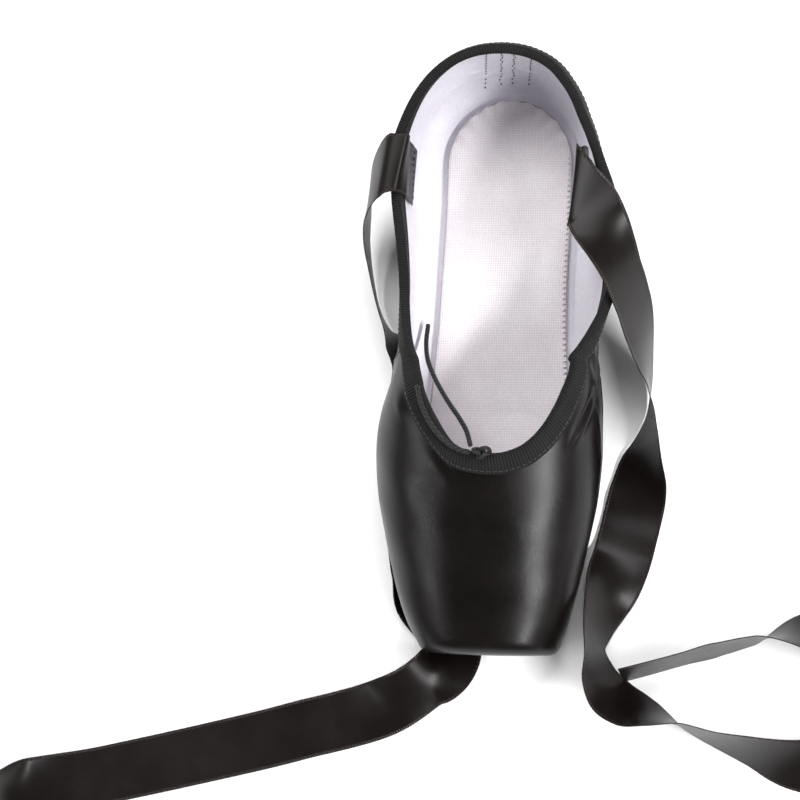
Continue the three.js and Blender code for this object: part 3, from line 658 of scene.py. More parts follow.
def satin_material(name, colour, roughness=0.31, streak=(6.0, 0.8, 1.0), sheen=0.0,
                   edge=0.0):
    make = Nodes(name)
    cloud = make.noise("Object", 55, 4, 0.6)
    float_threads = make.noise("UV", 42, 3, 0.65, streak)
    tint = make.ramp(cloud, "Fac", scaled(colour, 0.75), scaled(colour, 1.5), (0.3, 0.75))
    make.link(tint, "Color", make.shader, "Base Color")
    mix = make.math("MULTIPLY", (cloud, "Fac"), (float_threads, "Fac"))
    rough = make.value_range(mix, "Value", roughness - 0.05, roughness + 0.08, 0.12, 0.45)
    make.link(rough, "Result", make.shader, "Roughness")
    warp = make.bands("UV", "Y", pitch(0.28), 0.4)
    weft = make.bands("UV", "X", pitch(0.4), 0.6)
    weave = make.math("MULTIPLY", (warp, "Fac"), (weft, "Fac"))
    first = make.bump(weave, "Value", 0.000008, 0.6)
    second = make.bump(float_threads, "Fac", 0.00004, 0.5, first)
    grain = make.noise("Object", 1900, 2, 0.6)
    speckled = make.bump(grain, "Fac", 0.00002, 0.6, second)
    third = make.bump(cloud, "Fac", 0.00012, 0.35, speckled)
    make.set(Specular_IOR_Level=0.2, Sheen_Weight=sheen, Sheen_Roughness=0.4)
    if edge:
        place = make.add("ShaderNodeSeparateXYZ")
        make.link(make.coordinates("UV", (1, 1, 1)), "Vector", place, "Vector")
        middle = make.math("SUBTRACT", (place, "Y"), edge / 2)
        off = make.math("ABSOLUTE", (middle, "Value"), 0.0)
        rim = make.value_range(off, "Value", 0.0, 1.0, edge / 2 - 0.012, edge / 2 - 0.008)
        picot = make.bands("UV", "X", pitch(0.9), 0.2)
        teeth = make.math("MULTIPLY", (rim, "Result"), (picot, "Fac"))
        make.bump(teeth, "Value", 0.00025, 0.9, third)
        # Each edge of the ribbon is painted 3.2 times lighter: a painted highlight along the
        # selvedge.
        mixed = make.add("ShaderNodeMix", data_type="RGBA")
        make.link(rim, "Result", mixed, "Factor")
        make.tree.links.new(tint.outputs["Color"], mixed.inputs[6])
        mixed.inputs[7].default_value = (*scaled(colour, 3.2), 1)
        make.tree.links.new(mixed.outputs[2], make.shader.inputs["Base Color"])
    return make.material


def ribbed_material(name, colour):
    make = Nodes(name)
    ribs = make.bands("UV", "X", pitch(1.0), 0.5)
    fuzz = make.noise("Object", 900, 3, 0.7)
    cloud = make.noise("Object", 70, 3, 0.5)
    # The ribs' colour is painted shade and highlight: darker in the grooves, lighter on the crests.
    tint = make.ramp(ribs, "Fac", scaled(colour, 0.5), scaled(colour, 1.9), (0.1, 0.9))
    make.link(tint, "Color", make.shader, "Base Color")
    rough = make.value_range(cloud, "Fac", 0.7, 0.9, 0.3, 0.7)
    make.link(rough, "Result", make.shader, "Roughness")
    first = make.bump(ribs, "Fac", 0.00025, 0.9)
    make.bump(fuzz, "Fac", 0.00012, 0.6, first)
    make.set(Specular_IOR_Level=0.2, Sheen_Weight=0.02, Sheen_Roughness=0.55)
    return make.material


def canvas_material(name, colour, thread=0.75, depth=0.00012, roughness=0.9):
    make = Nodes(name)
    warp = make.bands("UV", "Y", pitch(thread), 0.6)
    weft = make.bands("UV", "X", pitch(thread * 1.1), 0.6)
    weave = make.math("MAXIMUM", (warp, "Fac"), (weft, "Fac"))
    slub = make.noise("UV", 60, 4, 0.6, (1.0, 3.0, 1.0))
    cloud = make.noise("Object", 38, 4, 0.6)
    # The weave tint is partly random slub tone and partly painted shade: the gaps between the threads
    # are darker.
    mix = make.math("MULTIPLY", (weave, "Value"), (slub, "Fac"))
    tint = make.ramp(mix, "Value", scaled(colour, 0.84), scaled(colour, 1.08), (0.15, 0.6))
    shade = make.ramp(cloud, "Fac", (0.9, 0.88, 0.89), (1, 1, 1), (0.35, 0.65))
    blend = make.add("ShaderNodeMix", data_type="RGBA", blend_type="MULTIPLY")
    blend.inputs[0].default_value = 1.0
    make.tree.links.new(tint.outputs["Color"], blend.inputs[6])
    make.tree.links.new(shade.outputs["Color"], blend.inputs[7])
    make.tree.links.new(blend.outputs[2], make.shader.inputs["Base Color"])
    first = make.bump(weave, "Value", depth, 0.7)
    make.bump(cloud, "Fac", 0.0006, 0.3, first)
    rough = make.value_range(slub, "Fac", roughness - 0.06, roughness + 0.04, 0.3, 0.7)
    make.link(rough, "Result", make.shader, "Roughness")
    make.set(Specular_IOR_Level=0.25, Sheen_Weight=0.1)
    return make.material


def leather_material(name, colour):
    make = Nodes(name)
    grain = make.add("ShaderNodeTexVoronoi", feature="DISTANCE_TO_EDGE")
    mapping = make.coordinates("Object", (1, 1, 1))
    make.link(mapping, "Vector", grain, "Vector")
    grain.inputs["Scale"].default_value = 900
    nap = make.noise("Object", 240, 5, 0.7)
    stain = make.noise("Object", 26, 4, 0.6)
    tint = make.ramp(stain, "Fac", scaled(colour, 0.72), scaled(colour, 1.35), (0.3, 0.72))
    make.link(tint, "Color", make.shader, "Base Color")
    rough = make.value_range(nap, "Fac", 0.62, 0.86, 0.3, 0.7)
    make.link(rough, "Result", make.shader, "Roughness")
    first = make.bump(grain, "Distance", 0.00008, 0.5)
    make.bump(nap, "Fac", 0.0002, 0.5, first)
    make.set(Specular_IOR_Level=0.3)
    return make.material


def braid_material(name, colour):
    make = Nodes(name)
    twist = make.bands("UV", "DIAGONAL", pitch(1.1), 0.4)
    fuzz = make.noise("Object", 1200, 3, 0.7)
    # The twist's colour is painted shade and highlight: darker in the grooves, lighter on the ridges.
    tint = make.ramp(twist, "Fac", scaled(colour, 0.6), scaled(colour, 2.4), (0.15, 0.9))
    make.link(tint, "Color", make.shader, "Base Color")
    rough = make.value_range(fuzz, "Fac", 0.55, 0.75, 0.3, 0.7)
    make.link(rough, "Result", make.shader, "Roughness")
    first = make.bump(twist, "Fac", 0.0002, 0.9)
    make.bump(fuzz, "Fac", 0.0001, 0.5, first)
    make.set(Specular_IOR_Level=0.3, Sheen_Weight=0.05)
    return make.material


def thread_material(name, colour):
    make = Nodes(name)
    fuzz = make.noise("Object", 1500, 3, 0.7)
    tint = make.ramp(fuzz, "Fac", scaled(colour, 0.8), scaled(colour, 1.3), (0.3, 0.7))
    make.link(tint, "Color", make.shader, "Base Color")
    make.bump(fuzz, "Fac", 0.00008, 0.6)
    rough = make.value_range(fuzz, "Fac", 0.45, 0.62, 0.3, 0.7)
    make.link(rough, "Result", make.shader, "Roughness")
    make.set(Specular_IOR_Level=0.4, Sheen_Weight=0.15)
    return make.material


# ---- soft creases, listed in the shoe's own sizes ----
# middle (x, s, z), direction (x, s, z), half length, half width, depth (negative is a ridge)
CREASES = [
    ((34, 84, 42), (0.25, 0.8, -0.3), 13, 1.3, 0.8),
    ((36.5, 88, 38), (0.2, 0.8, -0.3), 14, 1.4, -0.6),
    ((-21, 78, 50), (-0.55, 0.8, -0.1), 16, 1.5, 0.7),
    ((-24, 76, 48), (-0.55, 0.8, -0.1), 18, 1.7, -0.45),
    ((-27, 86, 43), (-0.35, 0.9, -0.15), 16, 2.2, 0.35),
    ((38, 92, 34), (0.1, 0.75, 0.65), 11, 1.7, 0.45),
    ((39.5, 87, 31), (0.1, 0.75, 0.65), 12, 1.8, -0.35),
    ((36.5, 101, 30), (0.1, 0.55, 0.8), 12, 2, 0.5),
    ((36.5, 107, 28), (0, 0.4, 0.9), 12, 2, -0.35),
    ((37, 118, 22), (0.05, 0.55, 0.8), 14, 2.4, 0.55),
    ((37.5, 125, 22), (0.05, 0.5, 0.85), 13, 2.2, -0.4),
    ((-38, 100, 30), (0, 0.6, 0.8), 13, 2, 0.45),
    ((-38, 106, 28), (0, 0.45, 0.9), 13, 2, -0.35),
    ((-37, 116, 22), (0, 0.5, 0.85), 13, 2.3, 0.55),
    ((-37, 124, 21), (0, 0.45, 0.9), 12, 2.2, -0.35),
    ((-14, 60, 48), (0.9, 0.35, 0), 22, 5, 0.35),
    ((12, 48, 43), (0.95, -0.2, 0), 20, 6, -0.25),
    ((-32, 196, 18), (0.1, 0.6, 0.8), 12, 2.6, 0.4),
    ((33, 198, 20), (-0.1, 0.6, 0.8), 12, 2.6, 0.4),
    ((0, 229, 20), (1, 0, 0.1), 16, 3, 0.4),
]
LINING_WRINKLES = [
    ((-6, 226, 15), (1, 0, 0.12), 7, 1.3, 0.9),
    ((-11, 225, 20), (0.95, -0.1, -0.3), 7, 1.2, 0.7),
    ((7, 226, 18), (1, 0, -0.2), 6, 1.2, 0.8),
    ((14, 224, 14), (0.9, 0.3, 0.1), 7, 1.3, 0.8),
    ((-2, 226.5, 23), (0.9, 0, 0.45), 5, 1.1, 0.6),
    ((-24, 215, 16), (0.6, 0.7, 0.1), 9, 1.5, 0.6),
    ((24, 214, 17), (0.6, -0.7, 0.1), 9, 1.5, 0.6),
    ((-33, 150, 22), (0, 0.3, 1), 10, 2.5, 0.4),
    ((36, 150, 24), (0, 0.3, 1), 10, 2.5, 0.4),
    ((30, 205, 26), (0.3, 0.6, 0.7), 10, 2.4, 0.4),
    ((-33, 190, 24), (0.2, 0.4, 0.9), 10, 2.4, 0.35),
]


def crease_field(points, creases):
    """How far each point sinks, in millimetres."""
    sink = np.zeros(points.shape[:-1])
    for (x, s, z), direction, length, width, depth in creases:
        way = np.array(direction, float)
        way /= np.linalg.norm(way)
        off = points - np.array([x, s - LENGTH / 2, z])
        along = off @ way
        across = np.linalg.norm(off - along[..., None] * way, axis=-1)
        near = np.exp(-(across / width) ** 2) * np.exp(-(along / length) ** 4)
        sink += depth * near
    return sink


def side_seam_distance(points):
    """Distance along the shoe from the side seam, which slopes forward as it goes down."""
    s = points[..., 1] + LENGTH / 2
    return s - (SEAM_S + (points[..., 2] - 24) * 0.18)


def pleat_relief(last, s):
    """Pleats gathered under the toe, from just outside the outsole to the platform's foot."""
    points = last.outside
    rows = np.arange(points.shape[1])
    off_sole = run_of(points) - WINDOW_INSET
    ring = points[:, last.FLANGE]
    step = np.linalg.norm(np.roll(ring, -1, 0) - ring, axis=1)
    phase = np.concatenate([[0], np.cumsum(step)[:-1]])
    middle = np.argmin(np.abs(last.lines[:, 1]) + 9 * (last.lines[:, 0] > 0))
    phase = phase - phase[middle]
    angle = phase / (sizes().pleat_pitch / MM) * math.pi
    uneven = 0.35 * np.sin(phase * 0.31) + 0.25 * np.sin(phase * 0.73 + 1)
    fold = 0.55 - np.abs(np.sin(angle + uneven)) ** 0.7
    fold = -fold * (0.85 + 0.3 * np.sin(phase * 0.53 + 2))
    near_toe = smooth((62 - s) / 24)
    inner = smooth((off_sole - 0.5) / 3.5)
    top = last.FLANGE + last.LOWER * 0.62
    outer = smooth((top - rows) / (last.LOWER * 0.42))
    return PLEAT_HEIGHT * fold[:, None] * near_toe * inner * outer[None, :]


def skin_relief(last):
    """Height of the satin over the shell, in millimetres, for each grid point."""
    points = last.outside
    s = points[..., 1] + LENGTH / 2
    x, z = points[..., 0], points[..., 2]
    relief = -crease_field(points, CREASES)
    relief += pleat_relief(last, s)
    # Side seams with turned allowances, and the strip down the back of the heel.
    seam = side_seam_distance(points)
    level = smooth((z - 6) / 5)
    relief += level * (0.16 * (smooth((seam + 4.2) / 0.8) - smooth((seam - 3.4) / 0.8))
                       - 0.42 * np.exp(-(seam / 0.55) ** 2)) * (np.abs(x) > 20)
    stay = smooth((HEEL_STAY + 0.5 - np.abs(x)) / 1.0) * (s > 205) * smooth((z - 4) / 3)
    relief += HEEL_STAY_HEIGHT * stay
    # Small unevenness of hand-turned cloth, quieter towards the binding.
    relief += 0.12 * np.sin(s * 0.21 + x * 0.13) * np.sin(z * 0.23 + x * 0.07)
    rows = np.arange(points.shape[1])
    quiet = smooth((rows.max() - rows) / 6)
    return relief * (0.35 + 0.65 * quiet)[None, :]


def satin_skin(last):
    return last.outside + last.normals * skin_relief(last)[..., None]


def closed_ring(grid):
    return np.concatenate([grid, grid[:1]])


def ring_uv(grid):
    """Cloth coordinates: distance round the ring at mid height, and distance up each line."""
    middle = grid.shape[1] // 2
    closed = closed_ring(grid)
    around = run_of(closed[:, middle])
    return np.stack([np.repeat(around[:, None], grid.shape[1], 1), run_of(closed)], -1)


# ---- stitches ----
def stitch_template(length, radius):
    """One stitch: a long bead of few faces."""
    bpy.ops.object.select_all(action="DESELECT")
    bpy.ops.mesh.primitive_uv_sphere_add(segments=6, ring_count=5, radius=1)
    obj = bpy.context.object
    obj.data.transform(Matrix.Diagonal((radius * MM, radius * MM, length / 2 * MM, 1)))
    return obj


def lay_stitches(name, places, length, radius, material):
    """places are (middle, direction, outward normal) in millimetres."""
    template = stitch_template(length, radius)
    copies = []
    for middle, direction, normal in places:
        z = Vector(direction).normalized()
        y = Vector(normal)
        y = (y - z * y.dot(z)).normalized()
        turn = Matrix((y.cross(z), y, z)).transposed().to_4x4()
        copy = template.copy()
        copy.data = template.data.copy()
        copy.data.transform(Matrix.Translation(Vector(middle) * MM) @ turn)
        bpy.context.scene.collection.objects.link(copy)
        copies.append(copy)
    bpy.data.objects.remove(template)
    bpy.ops.object.select_all(action="DESELECT")
    for copy in copies:
        copy.select_set(True)
    bpy.context.view_layer.objects.active = copies[0]
    if len(copies) > 1:
        bpy.ops.object.join()
    obj = bpy.context.object
    obj.name = name
    obj.data.name = name
    only(obj)
    bpy.ops.object.shade_smooth()
    finish_piece(obj, material)
    return obj


def stitch_row(path, normals, pitch_mm, lift_mm=0.05):
    """Even stitches along a path of points."""
    path, normals = np.asarray(path, float), np.asarray(normals, float)
    run = run_of(path)
    places = []
    for k in range(int(run[-1] // pitch_mm)):
        at = (k + 0.5) * pitch_mm
        before = np.array([np.interp(at - 0.4, run, path[:, j]) for j in range(3)])
        after = np.array([np.interp(at + 0.4, run, path[:, j]) for j in range(3)])
        normal = np.array([np.interp(at, run, normals[:, j]) for j in range(3)])
        normal /= max(np.linalg.norm(normal), EPS)
        places.append(((before + after) / 2 + normal * lift_mm, after - before, normal))
    return places


# ---- ribbons and drawstring ----
def curve_points(table, count):
    """Centripetal curve through the rows of a table."""
    rows = [np.array(row, float) for row in table]
    out = []
    last = len(rows) - 1
    for k in range(count + 1):
        place = k / count * last
        i = min(int(place), last - 1)
        w = place - i
        p1, p2 = rows[i], rows[i + 1]
        p0 = rows[i - 1] if i > 0 else 2 * rows[0] - rows[1]
        p3 = rows[i + 2] if i + 2 <= last else 2 * rows[last] - rows[last - 1]
        dt = [np.linalg.norm(b - a) ** 0.5 for a, b in ((p0, p1), (p1, p2), (p2, p3))]
        dt[1] = dt[1] if dt[1] > 1e-4 else 1.0
        dt = [step if step > 1e-4 else dt[1] for step in dt]
        t1 = ((p1 - p0) / dt[0] - (p2 - p0) / (dt[0] + dt[1]) + (p2 - p1) / dt[1]) * dt[1]
        t2 = ((p2 - p1) / dt[1] - (p3 - p1) / (dt[1] + dt[2]) + (p3 - p2) / dt[2]) * dt[1]
        c2, c3 = -3 * p1 + 3 * p2 - 2 * t1 - t2, 2 * p1 - 2 * p2 + t1 + t2
        out.append(p1 + t1 * w + c2 * w * w + c3 * w ** 3)
    return np.array(out)


def route(table):
    """Centre points of a route, with y counted from the middle of the shoe."""
    return [(row[0], row[1] - LENGTH / 2, row[2]) for row in table]


# The rows of a ribbon's table between which its askew fold fades, and how far it stretches.
ASKEW_ROWS = (5, 7)
ASKEW_STRETCH = 1.38
FLOOR_CLEARANCE = 0.25


def ribbon_frame(table):
    """Centre, direction across and direction of the face at each step of a ribbon."""
    centre = curve_points(route(table), RIBBON_STEPS)
    given = curve_points([np.array(row[3:6], float) / np.linalg.norm(row[3:6]) for row in table],
                         RIBBON_STEPS)
    forward = np.gradient(centre, axis=0)
    forward /= np.linalg.norm(forward, axis=1, keepdims=True)
    side = given - (given * forward).sum(1, keepdims=True) * forward
    side /= np.linalg.norm(side, axis=1, keepdims=True)
    face = np.cross(forward, side)
    # Over the wall the ribbon is folded askew, so its sections there follow the fold.
    given = given / np.linalg.norm(given, axis=1, keepdims=True)
    rows = np.linspace(0, len(table) - 1, RIBBON_STEPS + 1)
    askew = 1 - smooth((rows - ASKEW_ROWS[0]) / (ASKEW_ROWS[1] - ASKEW_ROWS[0]))
    stretch = np.minimum(1 / (given * side).sum(1), ASKEW_STRETCH)
    side = side + (given * stretch[:, None] - side) * askew[:, None]
    return centre, side, face


def ribbon_piece(name, table, material):
    """A flat ribbon, curled across where its table says so."""
    width = sizes().ribbon_width / MM
    centre, side, face = ribbon_frame(table)
    curl_rows = np.array([[k / (len(table) - 1), row[6]] for k, row in enumerate(table)])
    bend = np.radians(column(curl_rows, 1)(np.linspace(0, 1, RIBBON_STEPS + 1)))
    bend = np.where(np.abs(bend) < 1e-3, 1e-3, bend)
    radius = width / bend
    run = run_of(centre)
    grid = np.zeros((RIBBON_STEPS + 1, RIBBON_STRIPS + 1, 3))
    uv = np.zeros((RIBBON_STEPS + 1, RIBBON_STRIPS + 1, 2))
    for j in range(RIBBON_STRIPS + 1):
        t = j / RIBBON_STRIPS
        turn = (t - 0.5) * bend
        ripple = 0.12 * np.sin(run * 0.11 + t * 2.2) * np.sin(run * 0.037 + 1)
        grid[:, j] = (centre + side * (radius * np.sin(turn))[:, None]
                      + face * (radius - radius * np.cos(turn) + ripple)[:, None])
        uv[:, j, 0] = run
        uv[:, j, 1] = t * width
    grid[..., 2] = np.maximum(grid[..., 2], FLOOR_CLEARANCE)
    obj = cloth_grid(name, grid, uv)
    thicken(obj, sizes().ribbon_thickness / MM, 0.0)
    soften(obj, 60)
    finish_piece(obj, material, [name.replace("satin_", "")])


def cord_grid(points, radius, sides=12):
    """A tube of rings round a path, with its cloth coordinates."""
    forward = np.gradient(points, axis=0)
    forward /= np.linalg.norm(forward, axis=1, keepdims=True)
    side = np.zeros_like(points)
    current = np.cross(forward[0], [0, 0, 1.0])
    if np.linalg.norm(current) < 1e-3:
        current = np.array([1.0, 0, 0])
    for k, way in enumerate(forward):
        current = current - way * current.dot(way)
        current /= np.linalg.norm(current)
        side[k] = current
    up = np.cross(forward, side)
    turn = np.arange(sides + 1) / sides * 2 * math.pi
    radius = np.broadcast_to(np.asarray(radius, float), (len(points),))
    ring = (side[:, None] * np.cos(turn)[None, :, None]
            + up[:, None] * np.sin(turn)[None, :, None])
    grid = points[:, None] + radius[:, None, None] * ring
    uv = np.stack(np.broadcast_arrays(run_of(points)[:, None], turn[None, :] * 0.9), -1)
    return grid, uv


def cord_piece(name, points, diameter, material, replaces=()):
    """A round cord with rounded cut ends, closed all over."""
    cap = np.linspace(0, math.pi / 2, 5)
    way = (points[0] - points[1]) / np.linalg.norm(points[0] - points[1])
    end = (points[-1] - points[-2]) / np.linalg.norm(points[-1] - points[-2])
    depth = diameter * 0.25
    head = [points[0] + way * depth * math.sin(a) for a in cap[:0:-1]]
    tail = [points[-1] + end * depth * math.sin(a) for a in cap[1:]]
    radii = ([diameter / 2 * math.cos(a) for a in cap[:0:-1]] + [diameter / 2] * len(points)
             + [diameter / 2 * math.cos(a) for a in cap[1:]])
    radii[0] = radii[-1] = 0.0
    full = np.array(head + list(points) + tail)
    grid, uv = cord_grid(full, radii)
    obj = cloth_grid(name, grid, uv)
    close_up(obj)
    soften(obj, 60)
    finish_piece(obj, material, replaces)
    return obj


# ---- stage ----
CAMERA_PLACE = (0.10438, -0.16707, 0.74867)
AIM = (-0.1867, 0.1951, -0.9629)
ROLL_UP = (-0.0040, 0.9799, 0.1993)
LENS = 90.2
FLOOR_SIZE = 6
ROOM_LIGHT = 0.27
LAMPS_AIM = (0, -0.01, 0.03)
# name, place, (width, depth), power
LIGHTS = [
    ("key_right", (0.86, -0.42, 0.78), (1.0, 0.09), 23),
    ("fill_left", (-0.92, -0.28, 0.64), (0.9, 0.08), 5.5),
    ("back_top", (-0.1, 0.72, 1.35), (1.3, 0.7), 24),
]


def place_camera(scene):
    """A long lens over the toe that looks down on the shoe."""
    camera = bpy.data.objects.new("camera", bpy.data.cameras.new("camera"))
    scene.collection.objects.link(camera)
    back = -Vector(AIM).normalized()
    right = Vector(ROLL_UP).cross(back).normalized()
    turn = Matrix((right, back.cross(right), back)).transposed().to_4x4()
    camera.matrix_world = Matrix.Translation(Vector(CAMERA_PLACE)) @ turn
    camera.data.lens = LENS
    camera.data.sensor_width = 36.0
    camera.data.clip_start = 0.02
    scene.camera = camera


def lay_floor():
    """A sheet of white paper."""
    bpy.ops.object.select_all(action="DESELECT")
    bpy.ops.mesh.primitive_plane_add(size=FLOOR_SIZE, location=(0, 0, 0))
    floor = bpy.context.object
    floor.name = "floor"
    make = Nodes("floor_paper")
    fibre = make.noise("Object", 300, 4, 0.6)
    tint = make.ramp(fibre, "Fac", (0.93, 0.93, 0.93), (0.96, 0.96, 0.96), (0.3, 0.7))
    make.link(tint, "Color", make.shader, "Base Color")
    make.set(Roughness=0.9, Specular_IOR_Level=0.1)
    floor.data.materials.append(make.material)


def hang_lamps(scene):
    """Two narrow strips for the satin's bands, a broad one from behind, and a light room."""
    world = bpy.data.worlds.new("studio")
    world.use_nodes = True
    background = world.node_tree.nodes["Background"]
    background.inputs["Color"].default_value = (1, 1, 1, 1)
    background.inputs["Strength"].default_value = ROOM_LIGHT
    scene.world = world
    for name, place, size, power in LIGHTS:
        light = bpy.data.lights.new(name, "AREA")
        light.shape = "RECTANGLE"
        light.size, light.size_y = size
        light.energy = power
        lamp = bpy.data.objects.new(name, light)
        scene.collection.objects.link(lamp)
        to = (Vector(LAMPS_AIM) - Vector(place)).normalized()
        turn = to.to_track_quat("-Z", "Y").to_matrix().to_4x4()
        lamp.matrix_world = Matrix.Translation(place) @ turn


class POINTE_OT_set_stage(bpy.types.Operator):
    """Set the floor, the lights and the camera"""
    bl_idname = "pointe.set_stage"
    bl_label = "Set stage"

    def execute(self, context):
        context.scene.view_settings.view_transform = "Standard"
        place_camera(context.scene)
        lay_floor()
        hang_lamps(context.scene)
        return {"FINISHED"}


class POINTE_OT_lay_ribbons(bpy.types.Operator):
    """Lay the two satin ribbons"""
    bl_idname = "pointe.lay_ribbons"
    bl_label = "Lay ribbons"

    def execute(self, context):
        # The ribbons use the shoe's satin painted 1.7 times lighter: painted light on the same cloth.
        satin = satin_material("ribbon_satin", scaled(colours().satin, 1.7), roughness=0.34,
                               streak=(0.8, 9.0, 1.0), sheen=0.01, edge=sizes().ribbon_width * 10)
        ribbon_piece("satin_ribbon_left", LEFT_RIBBON, satin)
        ribbon_piece("satin_ribbon_right", RIGHT_RIBBON, satin)
        return {"FINISHED"}


class POINTE_OT_lay_drawstring(bpy.types.Operator):
    """Tie the drawstring's knot and lay its two ends"""
    bl_idname = "pointe.lay_drawstring"
    bl_label = "Lay drawstring"

    def execute(self, context):
        braid = braid_material("drawstring_braid", colours().binding)
        diameter = sizes().cord_diameter / MM
        turn = np.linspace(0, 2 * math.pi, 97)
        thread = diameter * 0.42
        half = [h - thread for h in KNOT_HALF]
        loop = np.stack([
            KNOT[0] + half[0] * (np.sin(turn) + 2 * np.sin(2 * turn)) / 2.76,
            KNOT[1] - LENGTH / 2 + half[1] * (np.cos(turn) - 2 * np.cos(2 * turn)) / 3,
            KNOT[2] - half[2] * np.sin(3 * turn),
        ], 1)
        grid, uv = cord_grid(loop, thread, 10)
        grid[-1] = grid[0]
        knot = cloth_grid("drawstring_tied_knot", grid, uv)
        close_up(knot)
        soften(knot, 60)
        finish_piece(knot, braid, ["drawstring_knot"])
        for name, table, node in (("drawstring_inner", INNER_END, "drawstring_inner_end"),
                                  ("drawstring_outer", OUTER_END, "drawstring_outer_end")):
            points = curve_points(route(table), 90)
            obj = cord_piece(name, points, diameter, braid, [node])
        return {"FINISHED"}


class POINTE_OT_make_upper(bpy.types.Operator):
    """Pull the satin and the lining over the last"""
    bl_idname = "pointe.make_upper"
    bl_label = "Make upper"

    def execute(self, context):
        last = the_last()
        satin = cloth_grid("upper_satin", closed_ring(satin_skin(last)), ring_uv(last.outside),
                           closed=True, flip=True)
        thicken(satin, 0.6)
        soften(satin, 60)
        finish_piece(satin, satin_material("shoe_satin", colours().satin), ["upper"])
        wrinkle = crease_field(last.inside, LINING_WRINKLES)
        inner = last.inside - last.normals * wrinkle[..., None]
        lining = cloth_grid("upper_lining", closed_ring(inner), ring_uv(last.outside), closed=True)
        thicken(lining, 0.5)
        soften(lining, 60)
        cloth = canvas_material("lining_canvas", colours().lining, 0.6, 0.00006)
        finish_piece(lining, cloth)
        return {"FINISHED"}


class POINTE_OT_bind_collar(bpy.types.Operator):
    """Fold the ribbed binding over the collar and throat"""
    bl_idname = "pointe.bind_collar"
    bl_label = "Bind collar"

    def execute(self, context):
        last = the_last()
        far = GAP + BINDING_CLOTH
        outside, inside = sizes().binding_outside / MM, sizes().binding_inside / MM
        depths = np.linspace(outside, 0, 10)
        strip = np.array([along_path(path, lambda total: total - depths) for path in last.path])
        normal = ring_normals(strip)
        wall = last.wall[:, -1:]
        up = strip[:, -1] - strip[:, -2]
        up /= np.linalg.norm(up, axis=1, keepdims=True)
        # Up the outside, over the edge in a half circle, and down the inside.
        columns = []
        for j, depth in enumerate(depths):
            puff = 0.12 * math.sin(math.pi * (1 - depth / outside))
            drop = 0.35 * max(0.0, 1 - (outside - depth) / 1.2)
            columns.append(strip[:, j] + normal[:, j] * (far + puff - drop))
        middle = strip[:, -1] - normal[:, -1] * (wall / 2)
        for k in range(1, 8):
            turn = k / 8 * math.pi
            columns.append(middle + normal[:, -1] * ((far + wall / 2) * math.cos(turn))
                           + up * far * math.sin(turn))
        for j in reversed(range(len(depths))):
            if depths[j] <= inside:
                columns.append(strip[:, j] - normal[:, j] * (wall + far))
        grid = np.stack(columns, 1)
        closed = closed_ring(grid)
        uv = ring_uv(grid)
        rim = len(depths) + 3
        uv[..., 0] = run_of(closed[:, rim])[:, None]
        binding = cloth_grid("binding_strip", closed, uv, closed=True, flip=True)
        thicken(binding, 0.7)
        soften(binding, 60)
        cloth = ribbed_material("binding_rib", colours().binding)
        finish_piece(binding, cloth, ["collar_binding"])
        return {"FINISHED"}


def board_grid(outline, start, end, base, thickness, crown, stations, around):
    """Closed loops round a flat board that follows the lift, with softened edges."""
    t = (1 - np.cos(np.linspace(0, math.pi, stations + 1))) / 2
    s = start + (end - start) * t
    half = outline(s)
    half[0] = half[-1] = 0
    turn = np.linspace(0, 2 * math.pi, around + 1)
    c = np.sign(np.cos(turn)) * np.abs(np.cos(turn)) ** (2 / 7)
    d = np.sign(np.sin(turn)) * np.abs(np.sin(turn)) ** (2 / 3.2)
    middle = (base(s) + thickness / 2)[:, None]
    x = half[:, None] * c[None, :]
    z = middle + thickness / 2 * d[None, :]
    swell = crown * (1 - c ** 2) * np.maximum(d, 0)
    z = z + swell[None, :] * smooth(half / 12)[:, None]
    z = middle + (z - middle) * smooth(half / 4)[:, None]
    y = np.repeat((s - LENGTH / 2)[:, None], around + 1, 1)
    grid = np.stack([x + drift(s)[:, None], y, z], -1)
    uv = np.stack([np.repeat(s[:, None], around + 1, 1), x], -1)
    return grid, uv, s


def board_piece(name, grid, uv, material, replaces):
    """A board whose last column of points is laid on its first."""
    grid[:, -1] = grid[:, 0]
    obj = cloth_grid(name, grid, uv)
    close_up(obj, 2 * MERGE)
    soften(obj, 50)
    finish_piece(obj, material, replaces)


class POINTE_OT_make_insole(bpy.types.Operator):
    """Cover the insole board"""
    bl_idname = "pointe.make_insole"
    bl_label = "Make insole"

    def execute(self, context):
        grid, uv, s = board_grid(insole_outline, INSOLE_START, INSOLE_END, insole_underside,
                                 INSOLE_THICKNESS, crown=0.35, stations=320, around=72)
        x = grid[..., 0] - drift(s)[:, None]
        place = np.repeat(s[:, None], grid.shape[1], 1)
        top = grid[..., 2] > (insole_underside(s) + 1.0)[:, None]
        # Gathers round the heel, and shallow dishes under the heel and the ball of the foot.
        heel = np.hypot(x / 24.0, (place - 192) / 26.0)
        angle = np.arctan2(x, place - 186)
        gather = smooth((heel - 0.62) / 0.3) * smooth((place - 196) / 8)
        grid[..., 2] += top * gather * 0.45 * np.sin(angle * 30 + 1.2 * np.sin(angle * 4))
        dish = smooth(1 - np.hypot(x / 19, (place - 195) / 24)) * 0.45
        ball = smooth(1 - np.hypot(x / 22, (place - 62) / 26)) * 0.35
        grid[..., 2] -= top * (dish + ball) * 0.6
        cloth = canvas_material("insole_canvas", colours().insole, 0.9, 0.00014)
        board_piece("insole_cover", grid, uv, cloth, ["insole"])
        return {"FINISHED"}


class POINTE_OT_make_outsole(bpy.types.Operator):
    """Cut the leather outsole"""
    bl_idname = "pointe.make_outsole"
    bl_label = "Make outsole"

    def execute(self, context):
        grid, uv, _ = board_grid(sole_outline, SOLE_START, SOLE_END, lift, SOLE_THICKNESS,
                                 crown=0.0, stations=260, around=40)
        leather = leather_material("outsole_leather", colours().leather)
        board_piece("outsole_leather_cut", grid, uv, leather, ["outsole"])
        return {"FINISHED"}


